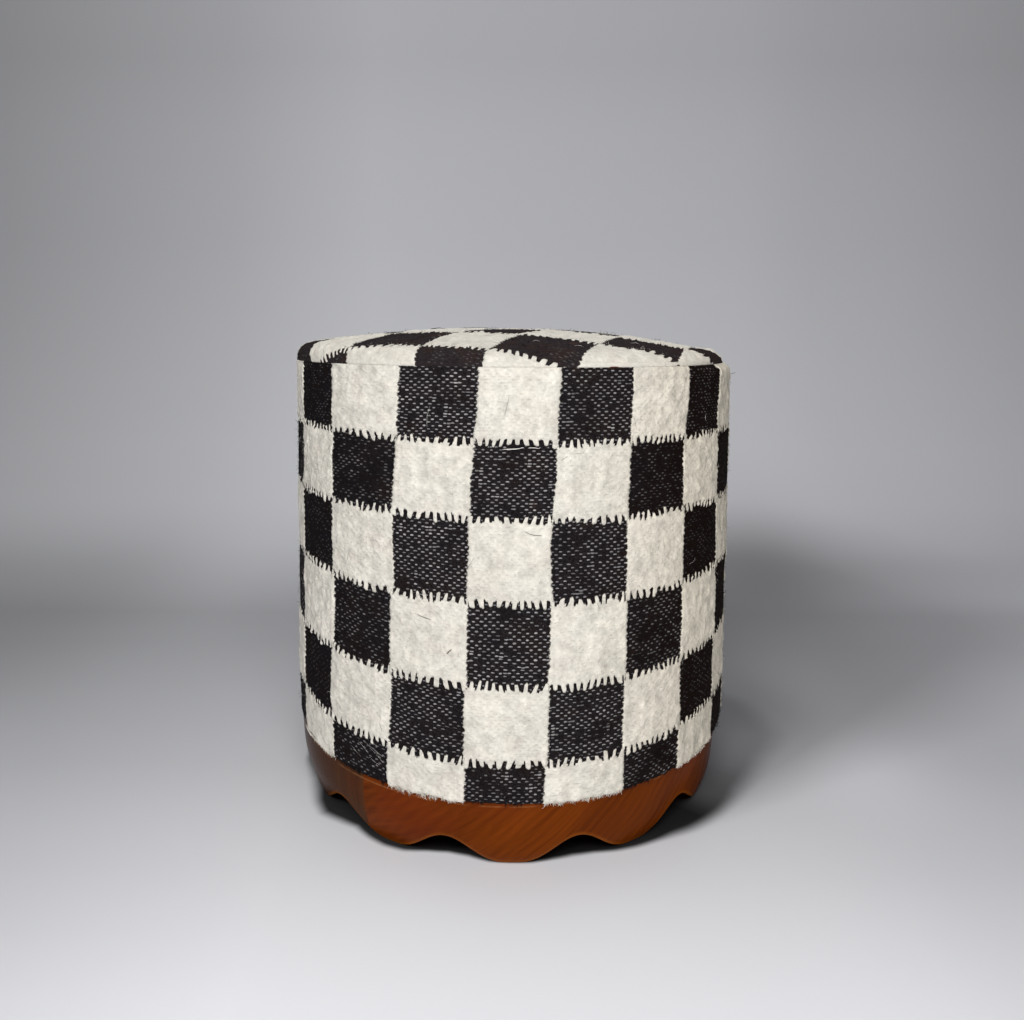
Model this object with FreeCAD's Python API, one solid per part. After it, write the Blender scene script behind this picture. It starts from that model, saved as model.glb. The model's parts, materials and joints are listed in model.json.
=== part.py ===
import FreeCAD, Part
import math
import os

# Round upholstered drum stool: flat-woven wool cover with a checker of
# squares, stretched over a padded plywood drum, standing on a low wooden
# plinth whose lower edge is cut into twelve rounded lobes.
#
# Millimetres. +Z is up, the origin is on the floor at the centre of the
# stool, and the side that faces the viewer looks along -Y.
# Angles named theta are measured round the stool from the front (-Y),
# growing towards the right (+X).

V = FreeCAD.Vector
os.makedirs("parts", exist_ok=True)

# ---------------------------------------------------------------- dimensions
# overall
R_COVER = 203.0          # outside radius of the woven side panel
Z_SEAM = 376.7           # seam between the side panel and the top panel
CROWN_W = 19.0           # width of the rounded shoulder above the seam
CROWN_H = 14.6           # height of the rounded shoulder
CROWN_DOME = 14.2        # further rise of the top from shoulder to middle

# wooden plinth
PLINTH_H = 53.0          # height of the wood at a lobe
PLINTH_R_TOP = 199.0     # outside radius at the top edge
PLINTH_R_FOOT = 191.5    # outside radius at the floor
PLINTH_R_IN = 158.0      # inside radius
PLINTH_EDGE = 1.2        # small bevel on the outer top edge
LOBES = 12
LOBE_PHASE = 0.42        # theta of the lobe that faces the viewer
GAP_RISE = 20.5          # height of the arched gap between two lobes
LOBE_POWER = 2.9         # how wide and flat the lobes are
FOOT_FLAT = 0.30         # makes a narrow flat at the bottom of each lobe
JOINT_THETA = -35.8      # first butt joint between two plinth segments
TONGUE = (28.0, 8.0, 22.0)   # loose tongue: along the ring, radial, high
TONGUE_R = 177.0
TONGUE_Z = 20.0

# layers of the drum, from the outside in
T_COVER = 3.5            # thickness of the flat weave
LAYER_GAP = 0.3          # clearance between curved soft layers
T_BATTING = 6.0
T_SIDE_FOAM = 10.0
T_WALL = 3.0             # bent hardboard wrap

# cover turned under the drum
Z_COVER = PLINTH_H                   # underside of the turned-under cloth
FLANGE_R_IN = 160.0
CORNER_R = 7.0                       # outer rounding of the lower edge
CORNER_R_IN = 3.5

# frame
Z_RING = Z_COVER + T_COVER           # underside of the bottom ring, 56.5
T_RING = 15.0                        # plywood
R_RING = 179.3
R_RING_IN = 110.0
Z_TOP_RING = 333.5
POSTS = 6
POST_THETA = LOBE_PHASE + 15.0
POST = (30.0, 40.0)                  # radial, tangential
POST_R_OUT = 177.0
R_WALL_IN = 179.6

# seat
WEB_W = 50.0
WEB_T = 1.5
WEB_PITCH = 65.0
WEB_HALF = (130.0, 150.0, 130.0)
WEB_CLEAR = 0.2
T_HESSIAN = 0.8

# fasteners
STAPLE_WIRE = 1.2
STAPLE_T = 0.8
STAPLE_CROWN = 12.0
STAPLE_LEG = 8.0

# ------------------------------------------------------------------- helpers


def direction(theta):
    a = math.radians(theta)
    return V(math.sin(a), -math.cos(a), 0)


def tangent(theta):
    a = math.radians(theta)
    return V(math.cos(a), math.sin(a), 0)


def placed(shape, theta, r=0.0, z=0.0):
    """A copy whose local +X points outward at theta, moved out by r and up by z."""
    s = shape.copy()
    s.rotate(V(0, 0, 0), V(0, 0, 1), theta - 90.0)
    d = direction(theta)
    s.translate(V(d.x * r, d.y * r, z))
    return s


def poly_face(points):
    """A face in the XZ plane from (x, z) corners."""
    pts = [V(x, 0, z) for x, z in points]
    pts.append(pts[0])
    return Part.Face(Part.makePolygon(pts))


def spun(face, start_theta=0.0, angle=360.0):
    """The XZ face turned round Z, from start_theta through angle."""
    s = face.revolve(V(0, 0, 0), V(0, 0, 1), angle)
    s.rotate(V(0, 0, 0), V(0, 0, 1), start_theta - 90.0)
    return s


def tube(r_in, r_out, z0, z1):
    return spun(poly_face([(r_in, z0), (r_out, z0), (r_out, z1), (r_in, z1)]))


def back_slit(width, r0, r1, z0, z1):
    return Part.makeBox(width, r1 - r0, z1 - z0, V(-width / 2.0, r0, z0))


def emit(name, shape):
    solids = shape.Solids
    if len(solids) == 1:
        shape = solids[0]
    else:
        shape = Part.makeCompound(solids)
    if not shape.isValid():
        print("invalid shape:", name)
    shape.exportStep("parts/%s.step" % name)
    b = shape.BoundBox
    print("%-26s solids %3d  volume %11.1f  z %7.2f..%7.2f  r %6.1f" % (
        name, len(solids), sum(s.Volume for s in solids), b.ZMin, b.ZMax,
        max(abs(b.XMin), abs(b.XMax), abs(b.YMin), abs(b.YMax))))
    MODEL[name] = shape


MODEL = {}

# ---------------------------------------------------------------- fasteners


def wood_screw(length, shank_r=2.4, head_r=4.6):
    """Countersunk screw: head flush with z = 0, point down."""
    head_h = head_r - shank_r
    pts = [(0, 0), (head_r, 0), (shank_r, -head_h), (shank_r, -length + 7.0),
           (0, -length)]
    s = spun(poly_face(pts))
    for ang in (0, 90):
        slot = Part.makeBox(4.4, 0.9, 1.4, V(-2.2, -0.45, -1.4))
        slot.rotate(V(0, 0, 0), V(0, 0, 1), ang)
        s = s.cut(slot)
    return s


def screw_space(length, shank_r=2.4, head_r=4.6):
    """The hole that exactly takes the screw."""
    head_h = head_r - shank_r
    pts = [(0, 0), (head_r, 0), (shank_r, -head_h), (shank_r, -length + 7.0),
           (0, -length)]
    return spun(poly_face(pts))


def staple(leg=STAPLE_LEG):
    """Crown along local Y with its top at z = 0, legs pointing down."""
    h = STAPLE_CROWN / 2.0
    w = STAPLE_WIRE
    t = STAPLE_T
    pts = [V(0, -h, 0), V(0, h, 0), V(0, h, -t - leg), V(0, h - w, -t - leg),
           V(0, h - w, -t), V(0, -h + w, -t), V(0, -h + w, -t - leg),
           V(0, -h, -t - leg)]
    pts.append(pts[0])
    s = Part.Face(Part.makePolygon(pts)).extrude(V(w, 0, 0))
    s.translate(V(-w / 2.0, 0, 0))
    return s


def flipped(shape):
    s = shape.copy()
    s.rotate(V(0, 0, 0), V(1, 0, 0), 180.0)
    return s


def turned_out(shape):
    """Local +Z becomes local +X: a staple driven inward through a wall."""
    s = shape.copy()
    s.rotate(V(0, 0, 0), V(0, 1, 0), 90.0)
    return s


# plinth screws: down through the bottom ring and the turned-under cloth
plinth_screw_thetas = []
for q in range(4):
    start = JOINT_THETA + 90.0 * q
    plinth_screw_thetas += [start + 7.42, start + 67.42]
PLINTH_SCREW_R = 170.0
base_screws = [placed(wood_screw(48.0), t, PLINTH_SCREW_R, Z_RING + T_RING)
               for t in plinth_screw_thetas]
base_screw_holes = [placed(screw_space(48.0), t, PLINTH_SCREW_R, Z_RING + T_RING)
                    for t in plinth_screw_thetas]

# frame screws: two into each end of each post
post_thetas = [POST_THETA + 60.0 * k for k in range(POSTS)]
POST_SCREW_R = 163.0


def post_screws(make, top):
    out = []
    for t in post_thetas:
        for side in (-10.0, 10.0):
            s = make(50.0)
            if top:
                z = Z_TOP_RING + T_RING
            else:
                s = flipped(s)
                z = Z_RING
            s.translate(V(0, side, 0))
            out.append(placed(s, t, POST_SCREW_R, z))
    return out


bottom_screws = post_screws(wood_screw, False)
bottom_screw_holes = post_screws(screw_space, False)
top_screws = post_screws(wood_screw, True)
top_screw_holes = post_screws(screw_space, True)

# cover staples: up through the turned-under cloth, crowns sunk in the wool
cover_staples = [placed(flipped(staple()), LOBE_PHASE + 7.5 + 15.0 * k, 173.5, Z_COVER)
                 for k in range(24)]
# dust-cover staples
dust_staples = [placed(flipped(staple()), LOBE_PHASE + 10.0 + 30.0 * k, 148.0,
                       Z_RING - 0.8 - STAPLE_T)
                for k in range(12)]
# staples that hold the hardboard wrap to both rings
R_WALL_OUT = R_WALL_IN + T_WALL
wall_staples = []
for zc in (Z_RING + 8.5, Z_TOP_RING + 4.5):
    for k in range(12):
        wall_staples.append(placed(turned_out(staple()), LOBE_PHASE + 7.5 + 30.0 * k,
                                   R_WALL_OUT, zc))
Z_SEAT = Z_TOP_RING + T_RING     # top of the top ring, 348.5
# hessian staples round the rim of the top ring
hessian_staples = [placed(staple(), LOBE_PHASE + 7.5 + 22.5 * k, 175.4,
                          Z_SEAT + T_HESSIAN + STAPLE_T) for k in range(16)]

# ------------------------------------------------------------------- plinth


def gap_cutter(theta):
    """Arched gap between two lobes, cut towards the centre so that its width
    shrinks with the radius."""
    wires = []
    for u in (140.0, 216.0):
        top = []
        n = 40
        for i in range(n + 1):
            delta = math.radians(-15.0 + 30.0 * i / n)
            z = (GAP_RISE + FOOT_FLAT) * abs(math.cos(6.0 * delta)) ** LOBE_POWER - FOOT_FLAT
            top.append(V(u, u * math.tan(delta), z))
        curve = Part.BSplineCurve()
        curve.interpolate(top)
        a, b = top[0], top[-1]
        low = -8.0
        edges = [curve.toShape(),
                 Part.makeLine(b, V(u, b.y, low)),
                 Part.makeLine(V(u, b.y, low), V(u, a.y, low)),
                 Part.makeLine(V(u, a.y, low), a)]
        wires.append(Part.Wire(edges))
    s = Part.makeLoft(wires, True, True)
    s.rotate(V(0, 0, 0), V(0, 0, 1), theta - 90.0)
    return s


plinth_profile = poly_face([
    (PLINTH_R_IN, 0.0), (PLINTH_R_FOOT, 0.0),
    (PLINTH_R_TOP - 0.1, PLINTH_H - PLINTH_EDGE),
    (PLINTH_R_TOP - PLINTH_EDGE, PLINTH_H), (PLINTH_R_IN, PLINTH_H)])

tongue_box = Part.makeBox(TONGUE[1], TONGUE[0], TONGUE[2],
                          V(-TONGUE[1] / 2.0, -TONGUE[0] / 2.0, 0))
tongues = [placed(tongue_box, JOINT_THETA + 90.0 * q, TONGUE_R, TONGUE_Z)
           for q in range(4)]

segment_names = ["plinth_segment_front", "plinth_segment_right",
                 "plinth_segment_back", "plinth_segment_left"]
for q, name in enumerate(segment_names):
    start = JOINT_THETA + 90.0 * q
    seg = spun(plinth_profile, start, 90.0)
    for k in range(LOBES):
        gap = LOBE_PHASE + 15.0 + 30.0 * k
        mid = start + 45.0
        off = (gap - mid + 180.0) % 360.0 - 180.0
        if abs(off) < 45.0 + 15.5:
            seg = seg.cut(gap_cutter(gap))
    near = [h for h, t in zip(base_screw_holes, plinth_screw_thetas)
            if abs((t - (start + 45.0) + 180.0) % 360.0 - 180.0) < 46.0]
    seg = seg.cut(near + [tongues[q], tongues[(q + 1) % 4]])
    emit(name, seg)

emit("plinth_tongues", Part.makeCompound(tongues))
emit("plinth_screws", Part.makeCompound(base_screws))

# -------------------------------------------------------------------- frame
ring = tube(R_RING_IN, R_RING, Z_RING, Z_RING + T_RING)
ring = ring.cut(base_screw_holes + bottom_screw_holes)
ring = ring.cut(cover_staples + dust_staples)
ring = ring.cut(wall_staples[:12])
emit("frame_bottom_ring", ring)

post_box = Part.makeBox(POST[0], POST[1], Z_TOP_RING - Z_RING - T_RING,
                        V(-POST[0], -POST[1] / 2.0, 0))
for k, t in enumerate(post_thetas):
    p = placed(post_box, t, POST_R_OUT, Z_RING + T_RING)
    holes = bottom_screw_holes[2 * k:2 * k + 2] + top_screw_holes[2 * k:2 * k + 2]
    emit("frame_post_%d" % (k + 1), p.cut(holes))

ring = tube(R_RING_IN, R_RING, Z_TOP_RING, Z_TOP_RING + T_RING)
ring = ring.cut(top_screw_holes)

# seat webbing: three strips each way, woven over and under
web_positions = (-WEB_PITCH, 0.0, WEB_PITCH)
z_low = Z_SEAT
z_high = Z_SEAT + WEB_T + WEB_CLEAR


def web_strip(index, across):
    half = WEB_HALF[index]
    stations = [(-half, z_low), (-WEB_PITCH - 39.0, z_low)]
    for j, c in enumerate(web_positions):
        over = (index + j) % 2 == 0
        if across:
            over = not over
        z = z_high if over else z_low
        stations += [(c - 26.5, z), (c + 26.5, z)]
    stations += [(WEB_PITCH + 39.0, z_low), (half, z_low)]
    cleaned = []
    for s in stations:
        if len(cleaned) >= 2 and cleaned[-1][1] == s[1] and cleaned[-2][1] == s[1]:
            cleaned[-1] = s
        else:
            cleaned.append(s)
    pts = [V(x, 0, z) for x, z in cleaned]
    pts += [V(x, 0, z + WEB_T) for x, z in reversed(cleaned)]
    pts.append(pts[0])
    s = Part.Face(Part.makePolygon(pts)).extrude(V(0, WEB_W, 0))
    s.translate(V(0, web_positions[index] - WEB_W / 2.0, 0))
    if across:
        s.rotate(V(0, 0, 0), V(0, 0, 1), 90.0)
    return s


web_staples = []
for across in (False, True):
    for i, c in enumerate(web_positions):
        for sign in (-1.0, 1.0):
            for side in (-12.5, 12.5):
                s = staple()
                s.translate(V(sign * (WEB_HALF[i] - 9.0), c + side,
                              Z_SEAT + WEB_T + STAPLE_T))
                if across:
                    s.rotate(V(0, 0, 0), V(0, 0, 1), 90.0)
                web_staples.append(s)

ring = ring.cut(web_staples + hessian_staples)
ring = ring.cut(wall_staples[12:])
emit("frame_top_ring", ring)

wall = tube(R_WALL_IN, R_WALL_OUT, Z_RING, Z_SEAT)
wall = wall.cut([back_slit(1.0, R_WALL_IN - 5, R_WALL_OUT + 5, Z_RING - 1, Z_SEAT + 1)]
                + wall_staples)
emit("frame_hardboard_wall", wall)

emit("frame_screws_bottom", Part.makeCompound(bottom_screws))
emit("frame_screws_top", Part.makeCompound(top_screws))
emit("wall_staples", Part.makeCompound(wall_staples))

for across, word in ((False, "lengthwise"), (True, "crosswise")):
    for i in range(3):
        strip = web_strip(i, across)
        strip = strip.cut([s for s in web_staples
                           if s.common(strip).Volume > 1e-6])
        emit("seat_webbing_%s_%d" % (word, i + 1), strip)
emit("webbing_staples", Part.makeCompound(web_staples))

Z_HESS = z_high + WEB_T + WEB_CLEAR
hess = spun(poly_face([
    (0, Z_HESS), (160.0, Z_HESS), (172.0, Z_SEAT), (178.0, Z_SEAT),
    (178.0, Z_SEAT + T_HESSIAN), (172.0, Z_SEAT + T_HESSIAN),
    (160.0, Z_HESS + T_HESSIAN), (0, Z_HESS + T_HESSIAN)]))
emit("seat_hessian", hess.cut(hessian_staples))
emit("hessian_staples", Part.makeCompound(hessian_staples))

# ------------------------------------------------------------------ padding
Z_FOAM = Z_HESS + T_HESSIAN + LAYER_GAP


def crown(offset, n=14):
    """Profile of the crown, offset inward, from the seam to the middle."""
    pts = []
    a = CROWN_W - offset
    b = CROWN_H - offset
    for i in range(n + 1):
        ang = math.pi / 2.0 * i / n
        pts.append(((R_COVER - CROWN_W) + a * math.cos(ang), Z_SEAM + b * math.sin(ang)))
    r0, z0 = pts[-1]
    m = 12
    for i in range(1, m + 1):
        r = r0 * (1.0 - i / float(m))
        pts.append((r, z0 + CROWN_DOME * (1.0 - (r / r0) ** 2)))
    return pts


def crown_edges(offset):
    """Two smooth curves: the shoulder and the dome."""
    pts = crown(offset)
    shoulder = Part.BSplineCurve()
    shoulder.interpolate([V(x, 0, z) for x, z in pts[:15]])
    dome = Part.BSplineCurve()
    dome.interpolate([V(x, 0, z) for x, z in pts[14:]])
    return shoulder.toShape(), dome.toShape(), pts[0], pts[-1]


def shell_of_crown(o_out, o_in):
    s1, d1, a1, m1 = crown_edges(o_out)
    s2, d2, a2, m2 = crown_edges(o_in)
    edges = [s1, d1, Part.makeLine(V(m1[0], 0, m1[1]), V(m2[0], 0, m2[1])), d2, s2,
             Part.makeLine(V(a2[0], 0, a2[1]), V(a1[0], 0, a1[1]))]
    wire = Part.Wire(Part.__sortEdges__(edges))
    return spun(Part.Face(wire))


r_bat_out = R_COVER - T_COVER - LAYER_GAP
r_bat_in = r_bat_out - T_BATTING
r_foam_out = r_bat_in - LAYER_GAP
r_foam_in = r_foam_out - T_SIDE_FOAM
z_soft = Z_RING + LAYER_GAP

side_foam = tube(r_foam_in, r_foam_out, z_soft, Z_FOAM - LAYER_GAP)
side_foam = side_foam.cut(back_slit(1.0, r_foam_in - 5, r_foam_out + 5, z_soft - 1, Z_FOAM))
emit("side_foam", side_foam)

o_foam = T_COVER + LAYER_GAP + T_BATTING + LAYER_GAP
s1, d1, a1, m1 = crown_edges(o_foam)
edges = [s1, d1,
         Part.makeLine(V(0, 0, m1[1]), V(0, 0, Z_FOAM)),
         Part.makeLine(V(0, 0, Z_FOAM), V(r_foam_out, 0, Z_FOAM)),
         Part.makeLine(V(r_foam_out, 0, Z_FOAM), V(a1[0], 0, a1[1]))]
emit("seat_foam", spun(Part.Face(Part.Wire(Part.__sortEdges__(edges)))))

bat_bevel = 2.5           # keeps the padding out of the cover's rounded lower edge
bat = spun(poly_face([
    (r_bat_in, z_soft), (r_bat_out - bat_bevel, z_soft),
    (r_bat_out, z_soft + bat_bevel), (r_bat_out, Z_SEAM - LAYER_GAP),
    (r_bat_in, Z_SEAM - LAYER_GAP)]))
emit("side_batting", bat.cut(back_slit(0.6, r_bat_in - 5, r_bat_out + 5, z_soft - 1, Z_SEAM + 1)))
emit("top_batting", shell_of_crown(T_COVER + LAYER_GAP, T_COVER + LAYER_GAP + T_BATTING))

# -------------------------------------------------------------------- cover
ro, ri = R_COVER, R_COVER - T_COVER
c_out = (ro - CORNER_R, Z_COVER + CORNER_R)
c_in = (ri - CORNER_R_IN, Z_RING + CORNER_R_IN)
q = math.sqrt(0.5)
edges = [
    Part.makeLine(V(FLANGE_R_IN, 0, Z_COVER), V(c_out[0], 0, Z_COVER)),
    Part.Arc(V(c_out[0], 0, Z_COVER),
             V(c_out[0] + CORNER_R * q, 0, c_out[1] - CORNER_R * q),
             V(ro, 0, c_out[1])).toShape(),
    Part.makeLine(V(ro, 0, c_out[1]), V(ro, 0, Z_SEAM)),
    Part.makeLine(V(ro, 0, Z_SEAM), V(ri, 0, Z_SEAM)),
    Part.makeLine(V(ri, 0, Z_SEAM), V(ri, 0, c_in[1])),
    Part.Arc(V(ri, 0, c_in[1]),
             V(c_in[0] + CORNER_R_IN * q, 0, c_in[1] - CORNER_R_IN * q),
             V(c_in[0], 0, Z_RING)).toShape(),
    Part.makeLine(V(c_in[0], 0, Z_RING), V(FLANGE_R_IN, 0, Z_RING)),
    Part.makeLine(V(FLANGE_R_IN, 0, Z_RING), V(FLANGE_R_IN, 0, Z_COVER)),
]
side = spun(Part.Face(Part.Wire(Part.__sortEdges__(edges))))
side = side.cut(back_slit(0.4, 150.0, 210.0, Z_COVER - 2, Z_SEAM + 2))
side = side.cut(base_screw_holes)
side = side.cut(cover_staples)
emit("cover_side_panel", side)
emit("cover_top_panel", shell_of_crown(0.0, T_COVER))
emit("cover_staples", Part.makeCompound(cover_staples))

# --------------------------------------------------------------- dust cover
dust = Part.makeCylinder(156.0, 0.8, V(0, 0, Z_RING - 0.8))
emit("dust_cover", dust.cut(dust_staples))
emit("dust_cover_staples", Part.makeCompound(dust_staples))

print("nodes", len(MODEL), "height", max(s.BoundBox.ZMax for s in MODEL.values()))
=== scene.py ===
import json
import math
import bpy
import numpy as np
from mathutils import Matrix, Vector, geometry

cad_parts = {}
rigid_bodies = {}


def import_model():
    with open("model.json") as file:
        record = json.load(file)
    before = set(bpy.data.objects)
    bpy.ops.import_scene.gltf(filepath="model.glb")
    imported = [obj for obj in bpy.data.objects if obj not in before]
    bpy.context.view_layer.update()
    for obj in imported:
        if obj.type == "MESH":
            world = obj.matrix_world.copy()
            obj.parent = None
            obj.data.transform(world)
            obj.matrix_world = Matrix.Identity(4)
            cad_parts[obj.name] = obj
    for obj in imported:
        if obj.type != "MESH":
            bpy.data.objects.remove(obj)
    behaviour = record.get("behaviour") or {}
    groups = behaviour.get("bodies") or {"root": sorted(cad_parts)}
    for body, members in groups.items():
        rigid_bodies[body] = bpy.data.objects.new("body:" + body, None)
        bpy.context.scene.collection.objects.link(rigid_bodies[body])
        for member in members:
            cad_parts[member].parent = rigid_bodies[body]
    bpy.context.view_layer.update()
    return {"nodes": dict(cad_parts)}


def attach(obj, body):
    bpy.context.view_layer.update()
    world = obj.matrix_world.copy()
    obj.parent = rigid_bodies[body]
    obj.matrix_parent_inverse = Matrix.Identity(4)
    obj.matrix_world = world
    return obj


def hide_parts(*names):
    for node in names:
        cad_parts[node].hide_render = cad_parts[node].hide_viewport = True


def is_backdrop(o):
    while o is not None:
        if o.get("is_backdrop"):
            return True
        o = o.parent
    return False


# Round drum stool: checked flatweave cover on a padded drum, scalloped wooden
# plinth. The cover is modelled on its own weave lattice: u counts squares round
# the drum, v counts squares downwards from just above the top seam. A square
# has 20 wefts (upright) and 25 warps (level).
# theta is the angle from the front (-Y), growing towards the right (+X).

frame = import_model()
rng = np.random.default_rng(2024)
MM = 0.001

R_COVER, Z_SEAM, Z_BOTTOM = 203.0, 376.7, 53.0
ROLL_R, ROLL_Z, ROLL_A = 3.7, 56.4, math.radians(128)
T_CLOTH = 3.2
CROWN_W, CROWN_H, CROWN_DOME = 20.0, 15.0, 13.5


# =============================================================== small maths
class Arr:
    """Array arithmetic with the same names as the shader-node arithmetic below."""

    @staticmethod
    def floor(a):
        return np.floor(a)

    @staticmethod
    def absv(a):
        return np.abs(a)

    @staticmethod
    def sin(a):
        return np.sin(a)

    @staticmethod
    def sign(a):
        return np.sign(a)

    @staticmethod
    def power(a, b):
        return np.power(np.maximum(a, 0.0), b)

    @staticmethod
    def gt(a, b):
        return (a > b).astype(float)

    @staticmethod
    def pingpong(a, b):
        x = (a - b) / (2 * b)
        return np.abs((x - np.floor(x)) * 2 * b - b)

    @staticmethod
    def ramp(a, lo, hi):
        x = np.clip((a - lo) / (hi - lo), 0.0, 1.0)
        return x * x * (3.0 - 2.0 * x)

    @staticmethod
    def white(x, y):
        """The 2D white noise of the shader nodes, for whole-number inputs."""
        kx = np.asarray(x, np.float32).view(np.uint32) if np.ndim(x) else np.float32(x).view(np.uint32)
        ky = np.broadcast_to(np.asarray(y, np.float32), np.shape(x)).copy().view(np.uint32)
        with np.errstate(over="ignore"):
            start = np.uint32((0xDEADBEEF + (2 << 2) + 13) & 0xFFFFFFFF)
            a = start + kx
            b = start + ky
            c = np.full_like(a, start)

            def rot(v, k):
                return (v << np.uint32(k)) | (v >> np.uint32(32 - k))

            c = (c ^ b) - rot(b, 14)
            a = (a ^ c) - rot(c, 11)
            b = (b ^ a) - rot(a, 25)
            c = (c ^ b) - rot(b, 16)
            a = (a ^ c) - rot(c, 4)
            b = (b ^ a) - rot(a, 14)
            c = (c ^ b) - rot(b, 24)
        return c.astype(np.float64) / 4294967295.0


def weave_edges(o, u, v):
    """Signed distances X, Y, in squares, from the wavy upright and the toothed
    level edges of the squares. The cloth is black where X * Y > 0."""
    row = o.floor(v + 0.5)
    col = o.floor(u + 0.5)
    vw = v + o.sin(u * 3.1 + row * 4.0) * 0.006 + o.sin(u * 8.7 + row * 1.3) * 0.004
    uw = u + o.sin(v * 4.1 + col * 2.7) * 0.006 + o.sin(v * 11.3 + col * 5.1) * 0.003
    X = o.pingpong(uw + 20.5, 1.0) - 0.5
    Y = o.pingpong(vw + 20.5, 1.0) - 0.5
    # interlocked teeth: round-ended cream fingers, narrower black bars between
    # them, thinner still where the black square is the lower one
    off = v - row
    t = u * 10.0 + o.sin(u * 5.3 + row * 1.9) * 0.32 + off * o.sin(u * 9.1 + row * 2.6) * 2.6
    k = o.floor(t)
    f = t - k
    r1 = o.white(k, row)
    r2 = o.white(k, row + 57.0)
    r3 = o.white(k, row + 113.0)
    side = o.sign(X) * (1.0 - o.pingpong(row, 1.0) * 2.0)
    c = o.absv(f * 2.0 - 1.0)
    c0 = r2 * 0.18 + 0.42 + side * 0.06
    rise = o.ramp(c, c0 - 0.12, c0 + 0.12)
    w = 1.0 - c * c * (1.0 - rise) - rise * (1.80 - (1.0 - c) * (1.0 - c) * 0.6)
    deep = (0.028 + r1 * 0.042) * o.gt(row, 0.5)
    shift = (r3 - 0.5) * 0.034 * o.gt(row, 0.5)
    Y = Y - (deep * w + shift) * o.sign(X)
    # upright edges: a black bump for every second warp, cream a little wider
    g = v * 12.5 + o.sin(v * 6.1 + col * 1.7) * 0.25
    kg = o.floor(g)
    fg = g - kg
    r4 = o.white(kg, col + 211.0)
    cg = fg * 2.0 - 1.0
    bump = 1.0 - cg * cg
    X = X - (0.024 - (0.008 + r4 * 0.014) * bump) * o.sign(Y)
    return X, Y


# ============================================================ node arithmetic
class Sock:
    def __init__(self, g, out):
        self.g, self.out = g, out

    def __add__(self, b):
        return self.g.m("ADD", self, b)

    __radd__ = __add__

    def __sub__(self, b):
        return self.g.m("SUBTRACT", self, b)

    def __rsub__(self, b):
        return self.g.m("SUBTRACT", b, self)

    def __mul__(self, b):
        return self.g.m("MULTIPLY", self, b)

    __rmul__ = __mul__

    def __truediv__(self, b):
        return self.g.m("DIVIDE", self, b)


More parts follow.
